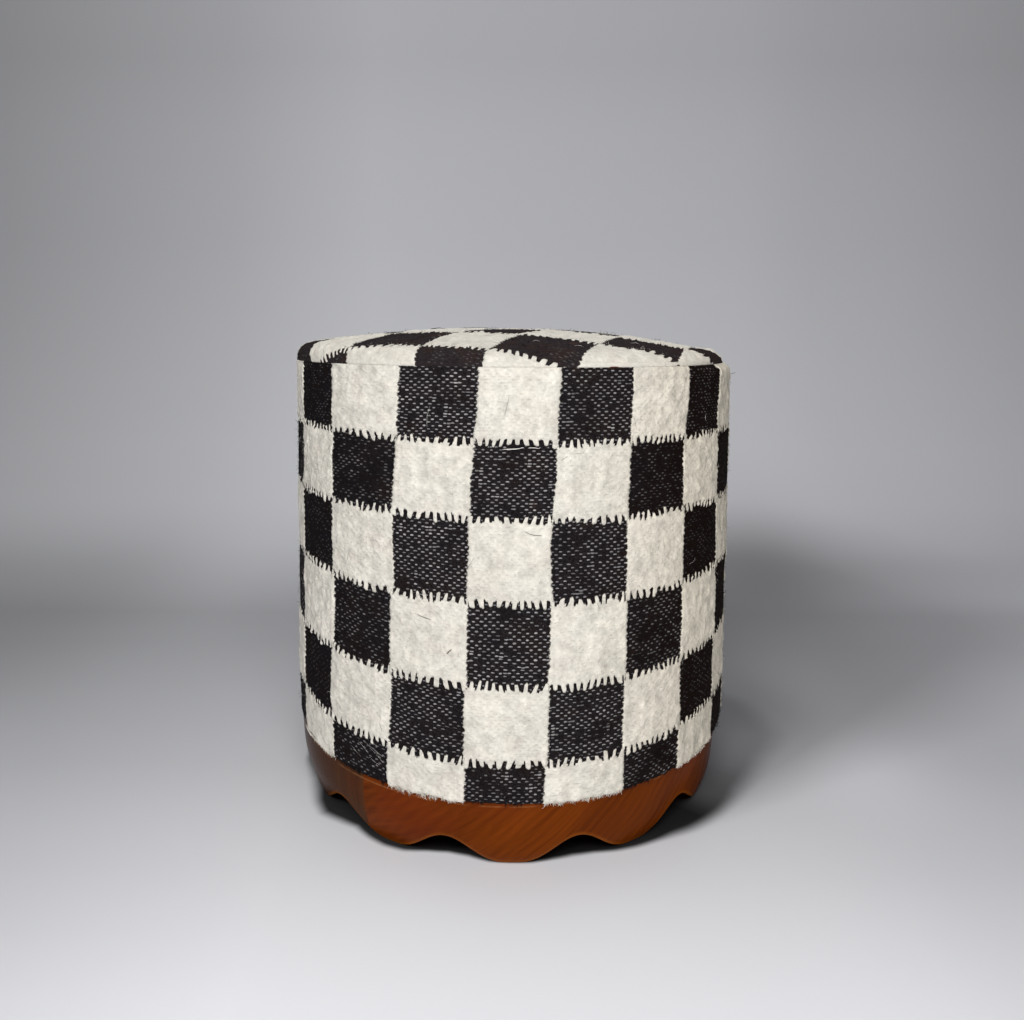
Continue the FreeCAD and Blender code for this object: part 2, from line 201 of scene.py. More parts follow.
class Graph:
    def __init__(self, name):
        self.mat = bpy.data.materials.new(name)
        self.mat.use_nodes = True
        self.t = self.mat.node_tree
        self.t.nodes.clear()
        self.out = self.t.nodes.new("ShaderNodeOutputMaterial")
        self.b = self.t.nodes.new("ShaderNodeBsdfPrincipled")
        self.t.links.new(self.b.outputs[0], self.out.inputs[0])

    def put(self, socket, value):
        if isinstance(value, Sock):
            self.t.links.new(value.out, socket)
        else:
            socket.default_value = value

    def m(self, op, a, b=None, c=None, clamp=False):
        n = self.t.nodes.new("ShaderNodeMath")
        n.operation = op
        n.use_clamp = clamp
        for i, x in enumerate((a, b, c)):
            if x is not None:
                self.put(n.inputs[i], x)
        return Sock(self, n.outputs[0])

    def floor(self, a):
        return self.m("FLOOR", a)

    def absv(self, a):
        return self.m("ABSOLUTE", a)

    def sin(self, a):
        return self.m("SINE", a)

    def sign(self, a):
        return self.m("SIGN", a)

    def power(self, a, b):
        return self.m("POWER", self.m("MAXIMUM", a, 0.0), b)

    def gt(self, a, b):
        return self.m("GREATER_THAN", a, b)

    def pingpong(self, a, b):
        return self.m("PINGPONG", a, b)

    def sat(self, a):
        return self.m("ADD", a, 0.0, clamp=True)

    def white(self, x, y):
        n = self.t.nodes.new("ShaderNodeTexWhiteNoise")
        n.noise_dimensions = "2D"
        self.put(n.inputs["Vector"], self.vec(x, y, 0.0))
        return Sock(self, n.outputs["Value"])

    def vec(self, x, y, z):
        n = self.t.nodes.new("ShaderNodeCombineXYZ")
        for i, a in enumerate((x, y, z)):
            self.put(n.inputs[i], a)
        return Sock(self, n.outputs[0])

    def split(self, v):
        n = self.t.nodes.new("ShaderNodeSeparateXYZ")
        self.put(n.inputs[0], v)
        return [Sock(self, n.outputs[i]) for i in range(3)]

    def uv(self, name):
        n = self.t.nodes.new("ShaderNodeUVMap")
        n.uv_map = name
        return Sock(self, n.outputs[0])

    def attr(self, name):
        n = self.t.nodes.new("ShaderNodeAttribute")
        n.attribute_name = name
        return Sock(self, n.outputs["Fac"])

    def obj(self):
        n = self.t.nodes.new("ShaderNodeTexCoord")
        return Sock(self, n.outputs["Object"])

    def mapping(self, v, loc=(0, 0, 0), rot=(0, 0, 0), scale=(1, 1, 1), kind="POINT"):
        n = self.t.nodes.new("ShaderNodeMapping")
        n.vector_type = kind
        self.put(n.inputs["Vector"], v)
        n.inputs["Location"].default_value = loc
        n.inputs["Rotation"].default_value = rot
        n.inputs["Scale"].default_value = scale
        return Sock(self, n.outputs[0])

    def noise(self, v, scale, detail=2.0, rough=0.5, distortion=0.0):
        n = self.t.nodes.new("ShaderNodeTexNoise")
        self.put(n.inputs["Vector"], v)
        n.inputs["Scale"].default_value = scale
        n.inputs["Detail"].default_value = detail
        n.inputs["Roughness"].default_value = rough
        n.inputs["Distortion"].default_value = distortion
        return Sock(self, n.outputs["Fac"])

    def voronoi(self, v, scale, feature="F1", random=1.0):
        n = self.t.nodes.new("ShaderNodeTexVoronoi")
        n.feature = feature
        self.put(n.inputs["Vector"], v)
        n.inputs["Scale"].default_value = scale
        n.inputs["Randomness"].default_value = random
        return Sock(self, n.outputs["Distance"])

    def ramp(self, v, lo, hi, to_lo=0.0, to_hi=1.0, smooth=True):
        n = self.t.nodes.new("ShaderNodeMapRange")
        n.interpolation_type = "SMOOTHSTEP" if smooth else "LINEAR"
        self.put(n.inputs["Value"], v)
        for name, x in (("From Min", lo), ("From Max", hi), ("To Min", to_lo), ("To Max", to_hi)):
            self.put(n.inputs[name], x)
        return Sock(self, n.outputs["Result"])

    def mix(self, f, a, b, blend="MIX"):
        """Mixes colours; a and b are Socks or (r, g, b)."""
        n = self.t.nodes.new("ShaderNodeMix")
        n.data_type = "RGBA"
        n.blend_type = blend
        self.put(n.inputs[0], f)
        for i, x in ((6, a), (7, b)):
            if isinstance(x, Sock):
                self.t.links.new(x.out, n.inputs[i])
            else:
                n.inputs[i].default_value = (*x, 1.0)
        return Sock(self, n.outputs[2])

    def scale_col(self, col, f):
        """col times the value f."""
        n = self.t.nodes.new("ShaderNodeVectorMath")
        n.operation = "SCALE"
        self.put(n.inputs[0], col)
        self.put(n.inputs["Scale"], f)
        return Sock(self, n.outputs[0])

    def bump(self, h, dist, strength=1.0, normal=None):
        n = self.t.nodes.new("ShaderNodeBump")
        n.inputs["Strength"].default_value = strength
        n.inputs["Distance"].default_value = dist
        self.put(n.inputs["Height"], h)
        if normal is not None:
            self.put(n.inputs["Normal"], normal)
        return Sock(self, n.outputs[0])

    def finish(self, colour, rough, normal=None, **fixed):
        self.put(self.b.inputs["Base Color"], colour)
        self.put(self.b.inputs["Roughness"], rough)
        if normal is not None:
            self.put(self.b.inputs["Normal"], normal)
        for k, x in fixed.items():
            self.b.inputs[k.replace("_", " ")].default_value = x
        return self.mat


# ================================================================= materials
def weave_material(name, dash_amount=1.0, black_lift=1.0, wool=1.0, brown=0.35, tint=(1.0, 1.0, 1.0), painted_side_shading=1.0, dark_tint=(1.0, 1.0, 1.0)):
    """Checked flatweave in the coordinates of the UV map "weave". The vertex
    values "relief" (how far a spot stands proud, about -2..2) and "dash" (how
    much warp shows there) come with the mesh."""
    g = Graph(name)
    w = g.uv("weave")
    u, v, _ = g.split(w)
    X, Y = weave_edges(g, u, v)
    p = g.obj()
    relief = g.attr("relief")
    show = g.attr("dash")
    # sharp mask for the colour, 1 where black; fuzz roughens it
    fz = (g.noise(p, 1100.0, 2.0) - 0.5) * 0.030 + (g.noise(p, 420.0, 2.0, 0.6) - 0.5) * 0.030
    sx = g.m("MINIMUM", g.m("MAXIMUM", (X + fz) / 0.007, -1.0), 1.0)
    sy = g.m("MINIMUM", g.m("MAXIMUM", (Y + fz) / 0.007, -1.0), 1.0)
    black = g.sat(sx * sy * 0.5 + 0.5)

    # ---- cream wool: mottled, slubby, bright tufts, grey specks
    wpos = g.vec(u, v, 0.0)
    mott = g.noise(wpos, 9.0, 4.0, 0.62)
    nub = g.noise(wpos, 30.0, 2.0, 0.55)
    slub = g.noise(g.vec(u * 38.0, v * 12.0, 3.0), 1.0, 2.0, 0.6)
    blob = 1.0 - g.voronoi(g.vec(u + (nub - 0.5) * 0.03, v + (mott - 0.5) * 0.03, 0.0), 19.0) * 1.25
    big = g.noise(wpos, 1.3, 2.0, 0.5)
    tuft = g.ramp(g.noise(g.vec(u + 3.0, v + 9.0, 0.0), 17.0, 2.0, 0.6), 0.60, 0.74)
    # painted shade and highlight: the relief term brightens proud nubs and darkens the hollows of the cream
    light = (0.80 + (mott - 0.5) * 0.24 * wool + (nub - 0.5) * 0.22 * wool + (slub - 0.5) * 0.06 * wool
             + (blob - 0.42) * 0.12 * wool + (big - 0.5) * 0.07 + tuft * 0.17 * wool + relief * 0.045 * wool)
    # painted light and shade: the squares at the far left are painted paler, those at the far right and in the lowest
    # row towards the right darker
    light = light * (1.0 - g.ramp(v, 4.9, 5.1) * g.ramp(u, 3.9, 6.5) * 0.10 * painted_side_shading)
    light = light * (1.0 + g.ramp(u, 1.05, 0.95) * 0.065 * painted_side_shading) * (1.0 - g.ramp(u, 6.97, 7.03) * 0.11 * painted_side_shading)
    warm = g.mix(g.sat(g.ramp(g.noise(wpos, 2.3, 2.0), 0.35, 0.7)), (0.815, 0.785, 0.705), (0.815, 0.765, 0.690))
    # painted warm shade: the cream of the right-hand columns is painted yellower, the black one browner
    painted_warm_shade = g.ramp(u, 4.0, 6.4) * painted_side_shading
    warm = g.mix(painted_warm_shade, warm, (0.830, 0.768, 0.652))
    cream = g.scale_col(g.mix(1.0, warm, tint, "MULTIPLY"), light)
    sp = g.noise(g.vec(u * 21.0, v * 46.0, 7.0), 1.0, 1.0, 0.5, 0.6)
    spm = g.noise(wpos, 3.7, 1.0)
    speck = g.ramp(sp, 0.715, 0.78) * g.ramp(spm, 0.42, 0.58)
    cream = g.mix(speck * 0.55, cream, (0.25, 0.22, 0.19))

    # ---- black wool with brown and violet patches
    patch = g.noise(wpos, 1.9, 3.0, 0.6)
    fine = g.noise(wpos, 30.0, 3.0, 0.6)
    dark = g.mix(g.ramp(patch, 0.42, 0.72), (0.0092, 0.0076, 0.0090), (0.0118, 0.0078, 0.0074))
    # painted warm shade: the black of the right-hand columns browner
    dark = g.mix(painted_warm_shade, dark, (0.0085, 0.0046, 0.0040))
    rust = g.noise(g.vec(u + 11.0, v + 5.0, 0.0), 2.6, 3.0, 0.65)
    dark = g.mix(g.ramp(rust, 0.60, 0.78) * brown, dark, (0.034, 0.016, 0.010))
    # painted shade and highlight: the relief term lightens the weft crowns and darkens the valleys of the black
    dark = g.scale_col(g.mix(1.0, dark, dark_tint, "MULTIPLY"), (0.30 + fine * 1.2 + relief * 0.16) * black_lift)

    # ---- light warp ends between the black wefts, brick by brick
    wob = g.noise(wpos, 2.1, 1.0) - 0.5
    wob2 = g.noise(g.vec(u * 3.0, v * 9.0, 5.0), 1.0, 1.0) - 0.5
    a_ = u * 20.0 + 400.0 + wob2 * 0.5
    b_ = v * 25.0 + 400.0 + wob * 0.7 + wob2 * 0.5
    a, b = g.floor(a_), g.floor(b_)
    ra, rb, rc, rd = g.white(a, b), g.white(a + 700.0, b), g.white(a, b + 900.0), g.white(a + 350.0, b + 450.0)
    line = g.white(b, g.floor(u * 1.0 + 0.5) + 60.0)
    par = g.pingpong(a + b, 1.0)
    lack = g.noise(wpos, 3.3, 2.0, 0.6)
    full = g.m("MAXIMUM", show - g.ramp(lack, 0.44, 0.70) * 0.50, 0.0)
    here = par * g.gt(ra, 0.42 - full * 0.42) + (1.0 - par) * g.gt(ra, 0.975) * g.gt(show, 0.2)
    fx = (a_ - a - 0.5) + (rb - 0.5) * 0.26
    fy = (b_ - b - 0.5) + (rc - 0.5) * 0.26
    hx = 0.38 + rc * 0.20 + (1.0 - par) * 0.3
    hy = 0.19 + rb * 0.11
    q = (fx / hx) * (fx / hx) + (fy / hy) * (fy / hy)
    dash = g.ramp(q, 1.20, 0.50) * here
    edge = g.ramp(g.absv(Y), 0.024, 0.050) * g.ramp(g.absv(X), -0.01, 0.012)
    dash = dash * edge * dash_amount
    bright = 0.035 + full * (0.150 + rd * 0.20 + line * 0.13)
    dcol = g.scale_col(g.mix(rb, (0.84, 0.82, 0.86), (0.92, 0.88, 0.87)), bright)
    dark = g.mix(dash, dark, dcol)
    # grey lint between the wefts where much warp shows
    lint = g.noise(g.vec(u * 44.0, v * 60.0, 9.0), 1.0, 2.0, 0.6)
    dark = g.mix(g.ramp(lint, 0.42, 0.78) * full * 0.15, dark, (0.24, 0.22, 0.235))

    colour = g.mix(black, cream, dark)

    # ---- relief finer than the mesh: finger edges, strands, fuzz
    ex = g.sat(g.m("MINIMUM", g.m("MAXIMUM", X / 0.020, -1.0), 1.0) * g.m("MINIMUM", g.m("MAXIMUM", Y / 0.020, -1.0), 1.0) * 0.5 + 0.5)
    strand = g.noise(g.vec(u * 160.0, v * 22.0, 1.0), 1.0, 3.0, 0.6)
    fibre = g.noise(p, 1500.0, 2.0, 0.6)
    h = (1.0 - ex) * (0.9 + nub * 0.5 + blob * 0.42 + tuft * 0.30) + strand * 0.10 + fibre * 0.22 - dash * 0.45
    n = g.bump(h, 0.00075, 0.82)
    return g.finish(colour, 0.92, n, Specular_IOR_Level=0.03, Sheen_Weight=0.004, Sheen_Roughness=0.45)


def yarn_material(name, colour, dark, spec=0.12):
    g = Graph(name)
    p = g.obj()
    n = g.noise(p, 420.0, 3.0, 0.6)
    col = g.mix(g.ramp(n, 0.3, 0.7), dark, colour)
    return g.finish(col, 0.9, g.bump(g.noise(p, 3000.0, 2.0), 0.0001, 0.5), Specular_IOR_Level=spec, Sheen_Weight=spec * 0.3)


def wood_material(name, theta, ring=(0.10, -0.16), seed=0.0, tone=1.0, light=(0.166, 0.0350, 0.0031), dark=(0.060, 0.0108, 0.0013), gloss=0.26, twist=0.06):
    """Oiled solid wood sawn from a board whose length lies along the segment's chord."""
    g = Graph(name)
    p = g.mapping(g.obj(), rot=(0, 0, -math.radians(theta)))
    q = g.mapping(p, loc=(seed, 0.0, 0.0), rot=(twist, twist * 0.6, 0.0))
    x, y, z = g.split(q)
    slow = g.noise(g.vec(x * 4.0, y * 11.0, z * 11.0 + seed), 1.0, 2.0, 0.5)
    mid = g.noise(g.vec(x * 14.0, y * 60.0, z * 60.0 + seed), 1.0, 2.0, 0.5)
    # the figure sweeps down from the left and levels out to the right
    zg = z - (x - 0.04) * (x - 0.04) * 1.5
    dy = y + ring[0]
    dz = zg + ring[1]
    rho = g.m("SQRT", dy * dy + dz * dz)
    phase = rho * 130.0 + slow * 4.2 + mid * 0.9
    late = g.sin(phase * 6.2832) * 0.5 + 0.5
    fleck = g.noise(g.vec(x * 40.0, y * 90.0, zg * 700.0), 1.0, 2.0, 0.6)
    streak = g.noise(g.vec(x * 12.0, y * 30.0, zg * 260.0 + seed), 1.0, 2.0, 0.6)
    pores = g.ramp(g.noise(g.vec(x * 90.0, y * 2200.0, z * 2200.0), 1.0, 1.0, 0.5), 0.64, 0.76)
    band = g.noise(g.vec(x * 5.0, y * 24.0, zg * 34.0 + seed * 3.0), 1.0, 2.0, 0.5)
    f = g.sat(late * 0.16 + (fleck - 0.5) * 0.42 + (streak - 0.5) * 0.85 + (band - 0.5) * 1.10 + 0.44)
    col = g.mix(f, light, dark)
    red = g.noise(g.vec(x * 11.0, y * 14.0, z * 14.0 + 4.0), 1.0, 2.0)
    col = g.mix(g.ramp(red, 0.52, 0.72) * 0.40, col, (0.135, 0.020, 0.0050))
    col = g.mix(pores * 0.22, col, (0.030, 0.007, 0.002))
    chat = g.noise(g.vec(x * 9.0, y * 9.0, z * 9.0), 1.0, 2.0)
    col = g.scale_col(col, (0.84 + chat * 0.32) * tone)
    # painted highlights on the arrises, broken up by noise: lighter along the lobes' lower edges and just below the
    # cloth
    top_z = g.split(g.obj())[2]
    highlight_breakup = g.noise(g.obj(), 60.0, 2.0)
    # painted highlight: lighter orange within a few mm of the lobes' lower edge, for light caught by the rounded edge
    rim = g.ramp(g.attr("above"), 4.5, 0.6) * (0.35 + highlight_breakup * 0.75)
    col = g.mix(g.sat(rim * 0.60), col, (0.260, 0.072, 0.0050))
    # painted highlight: a lighter band on the top edge of the wood just below the cloth
    painted_top_edge_highlight = g.ramp(top_z, 0.0484, 0.0490) * g.ramp(top_z, 0.0503, 0.0497) * g.ramp(highlight_breakup, 0.40, 0.62)
    col = g.mix(painted_top_edge_highlight * 0.28, col, (0.38, 0.16, 0.055))
    rough = gloss + (fleck - 0.5) * 0.08 + pores * 0.10 + (band - 0.5) * 0.10
    n = g.bump(fleck * 0.3 + pores * -0.7 + late * 0.15, 0.00010, 0.4)
    return g.finish(col, rough, n, Specular_IOR_Level=0.022, Coat_Weight=0.014, Coat_Roughness=0.10)


def simple_material(kind):
    """Finishes of the parts inside and underneath."""
    g = Graph(kind)
    p = g.obj()
    x, y, z = g.split(p)
    if kind == "plywood":
        ply = g.pingpong(z / 0.0015, 1.0)
        grain = g.noise(g.vec(x * 12.0, y * 300.0, z * 300.0), 1.0, 3.0, 0.6)
        col = g.mix(g.ramp(ply, 0.45, 0.55), (0.52, 0.36, 0.20), (0.36, 0.22, 0.11))
        col = g.scale_col(col, 0.75 + grain * 0.5)
        return g.finish(col, 0.7, g.bump(grain, 0.0002, 0.5), Specular_IOR_Level=0.3)
    if kind == "softwood":
        grain = g.noise(g.vec(x * 260.0, y * 260.0, z * 9.0), 1.0, 3.0, 0.6)
        knot = g.noise(g.vec(x * 60.0, y * 60.0, z * 20.0), 1.0, 2.0, 0.5)
        col = g.mix(g.ramp(grain, 0.35, 0.7), (0.62, 0.44, 0.24), (0.42, 0.25, 0.11))
        col = g.scale_col(col, 0.8 + knot * 0.4)
        return g.finish(col, 0.65, g.bump(grain, 0.0002, 0.5), Specular_IOR_Level=0.3)
    if kind == "hardboard":
        f = g.noise(p, 700.0, 4.0, 0.7)
        b = g.noise(p, 20.0, 2.0)
        col = g.scale_col(g.mix(f, (0.16, 0.085, 0.040), (0.075, 0.038, 0.018)), 0.8 + b * 0.4)
        return g.finish(col, 0.6, g.bump(f, 0.0001, 0.5), Specular_IOR_Level=0.35)
    if kind in ("screw_steel", "staple_steel"):
        f = g.noise(g.vec(x * 3000.0, y * 3000.0, z * 200.0), 1.0, 2.0, 0.5)
        b = g.noise(p, 90.0, 3.0, 0.6)
        col = g.scale_col(g.mix(g.ramp(b, 0.4, 0.7), (0.56, 0.55, 0.53), (0.40, 0.37, 0.33)), 0.85 + f * 0.3)
        return g.finish(col, 0.30 + f * 0.2, g.bump(f, 0.00003, 0.4), Metallic=1.0)
    if kind == "webbing":
        a = g.sin(x * 2600.0)
        b = g.sin(y * 2600.0)
        weave = a * b * 0.5 + 0.5
        f = g.noise(p, 900.0, 2.0)
        col = g.scale_col(g.mix(weave, (0.30, 0.21, 0.12), (0.48, 0.36, 0.22)), 0.7 + f * 0.6)
        return g.finish(col, 0.9, g.bump(weave + f * 0.5, 0.0004, 0.8), Specular_IOR_Level=0.2)
    if kind == "hessian":
        a = g.sin(x * 3600.0 + g.noise(p, 30.0) * 3.0)
        b = g.sin(y * 3600.0 + g.noise(p, 37.0) * 3.0)
        weave = a * b * 0.5 + 0.5
        f = g.noise(p, 500.0, 3.0)
        col = g.scale_col(g.mix(weave, (0.24, 0.16, 0.085), (0.46, 0.34, 0.19)), 0.7 + f * 0.6)
        return g.finish(col, 0.95, g.bump(weave, 0.0004, 0.8), Specular_IOR_Level=0.15)
    if kind == "foam":
        c = g.voronoi(p, 900.0)
        f = g.noise(p, 40.0, 2.0)
        col = g.scale_col(g.mix(c, (0.50, 0.43, 0.22), (0.80, 0.72, 0.45)), 0.85 + f * 0.3)
        return g.finish(col, 0.95, g.bump(c, 0.0005, 0.8), Specular_IOR_Level=0.15)
    if kind == "batting":
        f = g.noise(p, 160.0, 4.0, 0.7, 0.8)
        b = g.noise(p, 25.0, 2.0)
        col = g.scale_col(g.mix(f, (0.80, 0.80, 0.78), (0.62, 0.62, 0.60)), 0.9 + b * 0.15)
        return g.finish(col, 0.95, g.bump(f, 0.0015, 0.8), Specular_IOR_Level=0.15, Sheen_Weight=0.2)
    if kind == "dust_cloth":
        f = g.noise(p, 1300.0, 3.0, 0.7)
        dots = g.voronoi(g.vec(x, y, 0.0), 420.0, "F1", 0.0)
        b = g.noise(p, 18.0, 2.0)
        col = g.scale_col(g.mix(f, (0.020, 0.020, 0.021), (0.055, 0.054, 0.054)), 0.8 + b * 0.4)
        return g.finish(col, 0.85, g.bump(g.ramp(dots, 0.0, 0.45) + f * 0.6, 0.00022, 0.8), Specular_IOR_Level=0.25, Sheen_Weight=0.1)
    raise ValueError(kind)


MAT = {k: simple_material(k) for k in ("plywood", "softwood", "hardboard", "screw_steel", "staple_steel", "webbing", "hessian", "foam", "batting", "dust_cloth")}


# ================================================================ mesh making
def make_mesh(name, verts, groups, uvs=None, smooth=True):
    """verts (n, 3) in mm; groups is a list of (m, k) index arrays; uvs maps a
    name to a list of (m, k, 2) arrays, one for each group."""
    verts = np.asarray(verts, float) * MM
    me = bpy.data.meshes.new(name)
    loops = np.concatenate([np.asarray(g_, np.int32).ravel() for g_ in groups])
    totals = np.concatenate([np.full(len(g_), np.asarray(g_).shape[1], np.int32) for g_ in groups])
    starts = np.concatenate([[0], np.cumsum(totals)[:-1]]).astype(np.int32)
    me.vertices.add(len(verts))
    me.vertices.foreach_set("co", verts.astype(np.float32).ravel())
    me.loops.add(len(loops))
    me.loops.foreach_set("vertex_index", loops)
    me.polygons.add(len(totals))
    me.polygons.foreach_set("loop_start", starts)
    me.polygons.foreach_set("loop_total", totals)
    me.polygons.foreach_set("use_smooth", np.full(len(totals), smooth))
    for key, parts in (uvs or {}).items():
        layer = me.uv_layers.new(name=key)
        flat = np.concatenate([np.asarray(q, np.float32).reshape(-1, 2) for q in parts])
        layer.data.foreach_set("uv", flat.ravel())
    me.update(calc_edges=True)
    me.validate()
    ob = bpy.data.objects.new(name, me)
    bpy.context.scene.collection.objects.link(ob)
    return ob


def orient_outwards(ob):
    """Makes every closed shell's faces point out."""
    import bmesh

    bm = bmesh.new()
    bm.from_mesh(ob.data)
    bmesh.ops.recalc_face_normals(bm, faces=bm.faces)
    bm.to_mesh(ob.data)
    bm.free()


def blur_noise(shape, sv, su, seed):
    """Smooth random field, unit spread, correlation sv rows by su columns."""
    r = np.random.default_rng(seed).standard_normal(shape)
    ky = np.fft.fftfreq(shape[0])[:, None]
    kx = np.fft.rfftfreq(shape[1])[None, :]
    f = np.fft.rfft2(r) * np.exp(-2 * np.pi ** 2 * ((ky * sv) ** 2 + (kx * su) ** 2))
    out = np.fft.irfft2(f, s=shape)
    return out / out.std()


def grid_quads(rows, cols, start=0, flip=False):
    i, j = np.meshgrid(np.arange(rows - 1), np.arange(cols - 1), indexing="ij")
    a = (start + i * cols + j).ravel()
    q = np.stack([a, a + cols, a + cols + 1, a + 1], axis=1)
    return q[:, ::-1] if flip else q


# ------------------------------------------------- the side panel's own shape
# upright edges of the squares, theta by row (upper half, lower half of rows 1..6)
EDGES = {
    1: (-45.3, -45.2, -44.1, -44.7, -45.5, -45.5, -44.5, -44.9, -46.7, -46.9, -45.2, -45.2),
    2: (-24.2, -24.6, -25.9, -26.4, -26.1, -25.7, -27.4, -27.3, -26.7, -27.1, -28.3, -28.1),
    3: (-7.3, -8.0, -8.0, -8.5, -9.5, -9.5, -8.9, -9.3, -10.2, -10.1, -9.6, -9.5),
    4: (9.9, 9.4, 8.7, 8.2, 8.1, 8.5, 7.6, 7.6, 8.0, 7.9, 6.8, 6.7),
    5: (25.7, 25.2, 25.8, 25.6, 24.4, 24.7, 25.6, 25.4, 24.3, 24.5, 25.1, 25.1),
    6: (43.0, 42.5, 40.6, 41.0, 42.2, 42.1, 41.1, 41.3, 41.9, 42.2, 40.9, 40.7),
    7: (58.0, 57.1, 58.1, 58.7, 57.5, 57.9, 59.1, 59.1, 57.5, 57.8, 58.7, 58.2),
}
U_KNOTS = np.array([-6.85, -6, -5, -4, -3, -2, -1, 0, 1, 2, 3, 4, 5, 6, 7, 8, 9, 10, 11, 12, 13, 14])
TH_KNOTS = np.array([-179.95, -165.5, -148.3, -131.2, -114.0, -96.8, -79.7, -62.5, -45.31, -26.48, -9.03, 8.12, 25.12, 41.63, 58.14, 75.5, 92.95, 110.4, 127.8, 145.2, 162.6, 179.95])
LEVEL = ((322.71, -1.90, 0.42), (266.76, -2.57, 0.24), (205.10, -1.54, 3.23), (141.79, -1.32, 4.64), (84.32, -0.25, 5.88))
V_FINE = np.arange(0.0, 6.5001, 0.02)


def theta_table():
    knots = np.array([[r + 0.25, r + 0.75] for r in range(6)]).ravel()
    kernel = np.exp(-0.5 * (np.arange(-30, 31) * 0.02 / 0.14) ** 2)
    kernel /= kernel.sum()
    rest = {}
    for j, vals in EDGES.items():
        vals = np.array(vals)
        row = np.repeat(np.arange(6), 2)
        vals = vals + 0.506 * np.where((j - 1 + row) % 2 == 0, 1.0, -1.0)
        line = np.interp(V_FINE, knots, vals)
        pad = np.concatenate([np.full(30, line[0]), line, np.full(30, line[-1])])
        rest[j] = np.convolve(pad, kernel, mode="valid") - TH_KNOTS[list(U_KNOTS).index(j)]
    mean = np.mean(list(rest.values()), axis=0)
    T = np.zeros((len(U_KNOTS), len(V_FINE)))
    for i, (j, th) in enumerate(zip(U_KNOTS, TH_KNOTS)):
        fade = max(0.0, 1.0 - abs(th) / 179.95)
        T[i] = th + (rest[int(j)] if 1 <= j <= 7 else mean * fade)
    return T


THETA = theta_table()


def side_theta(u, v):
    i = np.clip(np.searchsorted(U_KNOTS, u, side="right") - 1, 0, len(U_KNOTS) - 2)
    fu = (u - U_KNOTS[i]) / (U_KNOTS[i + 1] - U_KNOTS[i])
    x = np.clip(v / 0.02, 0, len(V_FINE) - 1.001)
    j = x.astype(int)
    fv = x - j
    a = THETA[i, j] * (1 - fv) + THETA[i, j + 1] * fv
    b = THETA[i + 1, j] * (1 - fv) + THETA[i + 1, j + 1] * fv
    return a * (1 - fu) + b * fu


def side_level(theta, v):
    """Height, measured along the cloth, of the level line v at theta."""
    t = np.abs(theta) / 50.0
    t = np.where(t > 1.1, 1.1 + 0.4 * (1 - np.exp(-(np.maximum(t, 1.1) - 1.1) / 0.4)), t) * np.sign(theta)
    Z = [np.full_like(t, 380.1)] + [a + b * t + c * t * t for a, b, c in LEVEL]
    Z.append(Z[-1] - 60.0)
    Z.append(Z[-1] - 60.0)
    Z = np.stack(Z)
    i = np.clip(np.floor(v).astype(int), 0, 6)
    f = v - i
    idx = np.indices(i.shape)
    return Z[(i, *idx)] * (1 - f) + Z[(i + 1, *idx)] * f


def shoulder(theta):
    """How far the top seam is drawn in, in mm: the right-hand shoulder is rounder."""
    return 7.0 * Arr.ramp(np.sin(np.radians(theta)), 0.52, 0.92)


def side_point(theta, H, h, inner=0.0):
    """Point of the side panel: theta in degrees, H the height along the cloth, h
    how far the surface stands out of the panel's own face. The lower edge rolls
    over the top edge of the wood before it turns in above it."""
    a = np.clip((ROLL_Z - H) / ROLL_R, 0, ROLL_A)
    r = R_COVER - ROLL_R + ROLL_R * np.cos(a)
    z = np.where(a > 0, ROLL_Z - ROLL_R * np.sin(a), H)
    under = np.maximum(ROLL_Z - ROLL_R * ROLL_A - H, 0.0)
    r = r - under
    flat = np.clip(under / 3.0, 0, 1)
    z = z * (1 - flat) + 53.5 * flat
    nr, nz = np.cos(a), -np.sin(a)
    nr, nz = nr * (1 - flat), nz * (1 - flat) - flat
    t = np.clip((H - (Z_SEAM - 8.0)) / 8.0, 0, 1)
    A = shoulder(theta)
    r = r - A * t ** 2.4
    lean = 2.4 * A * t ** 1.4 / 8.0
    k = 1.0 / np.sqrt(1.0 + lean * lean)
    nr, nz = nr * k, nz + lean * k
    lip = np.clip((H - (Z_SEAM - 1.2)) / 1.2, 0, 1)      # turned in at the top seam
    z = z + 0.02 * lip
    d = h * (1 - 0.95 * lip) - inner * (1 - 0.45 * A / 7.0 * t * t)
    r, z = r + nr * d, z + nz * d
    th = np.radians(theta)
    return np.stack([r * np.sin(th), -r * np.cos(th), z], axis=-1)


def weave_relief(u, v, nub, slub, black_amp=0.62, cream_amp=0.10, step=0.34):
    """Height in mm, share of black, and the value "relief", which the shader uses to paint proud spots lighter and
    hollows darker.
    """
    X, Y = weave_edges(Arr, u, v)
    m = 0.5 + 0.5 * np.clip(X / 0.014, -1, 1) * np.clip(Y / 0.014, -1, 1)
    L = np.sin(20 * np.pi * u) * np.sin(25 * np.pi * v)
    bl = -step + black_amp * L * (1 + 0.22 * nub)
    cr = step + cream_amp * L + 0.36 * nub + 0.08 * slub
    return m * bl + (1 - m) * cr, m, m * L * 1.4 + (1 - m) * (nub + 0.4 * slub)


def add_values(ob, **values):
    """Stores one number for each vertex under the given names."""
    for key, x in values.items():
        layer = ob.data.attributes.new(key, "FLOAT", "POINT")
        layer.data.foreach_set("value", np.asarray(x, np.float32).ravel())


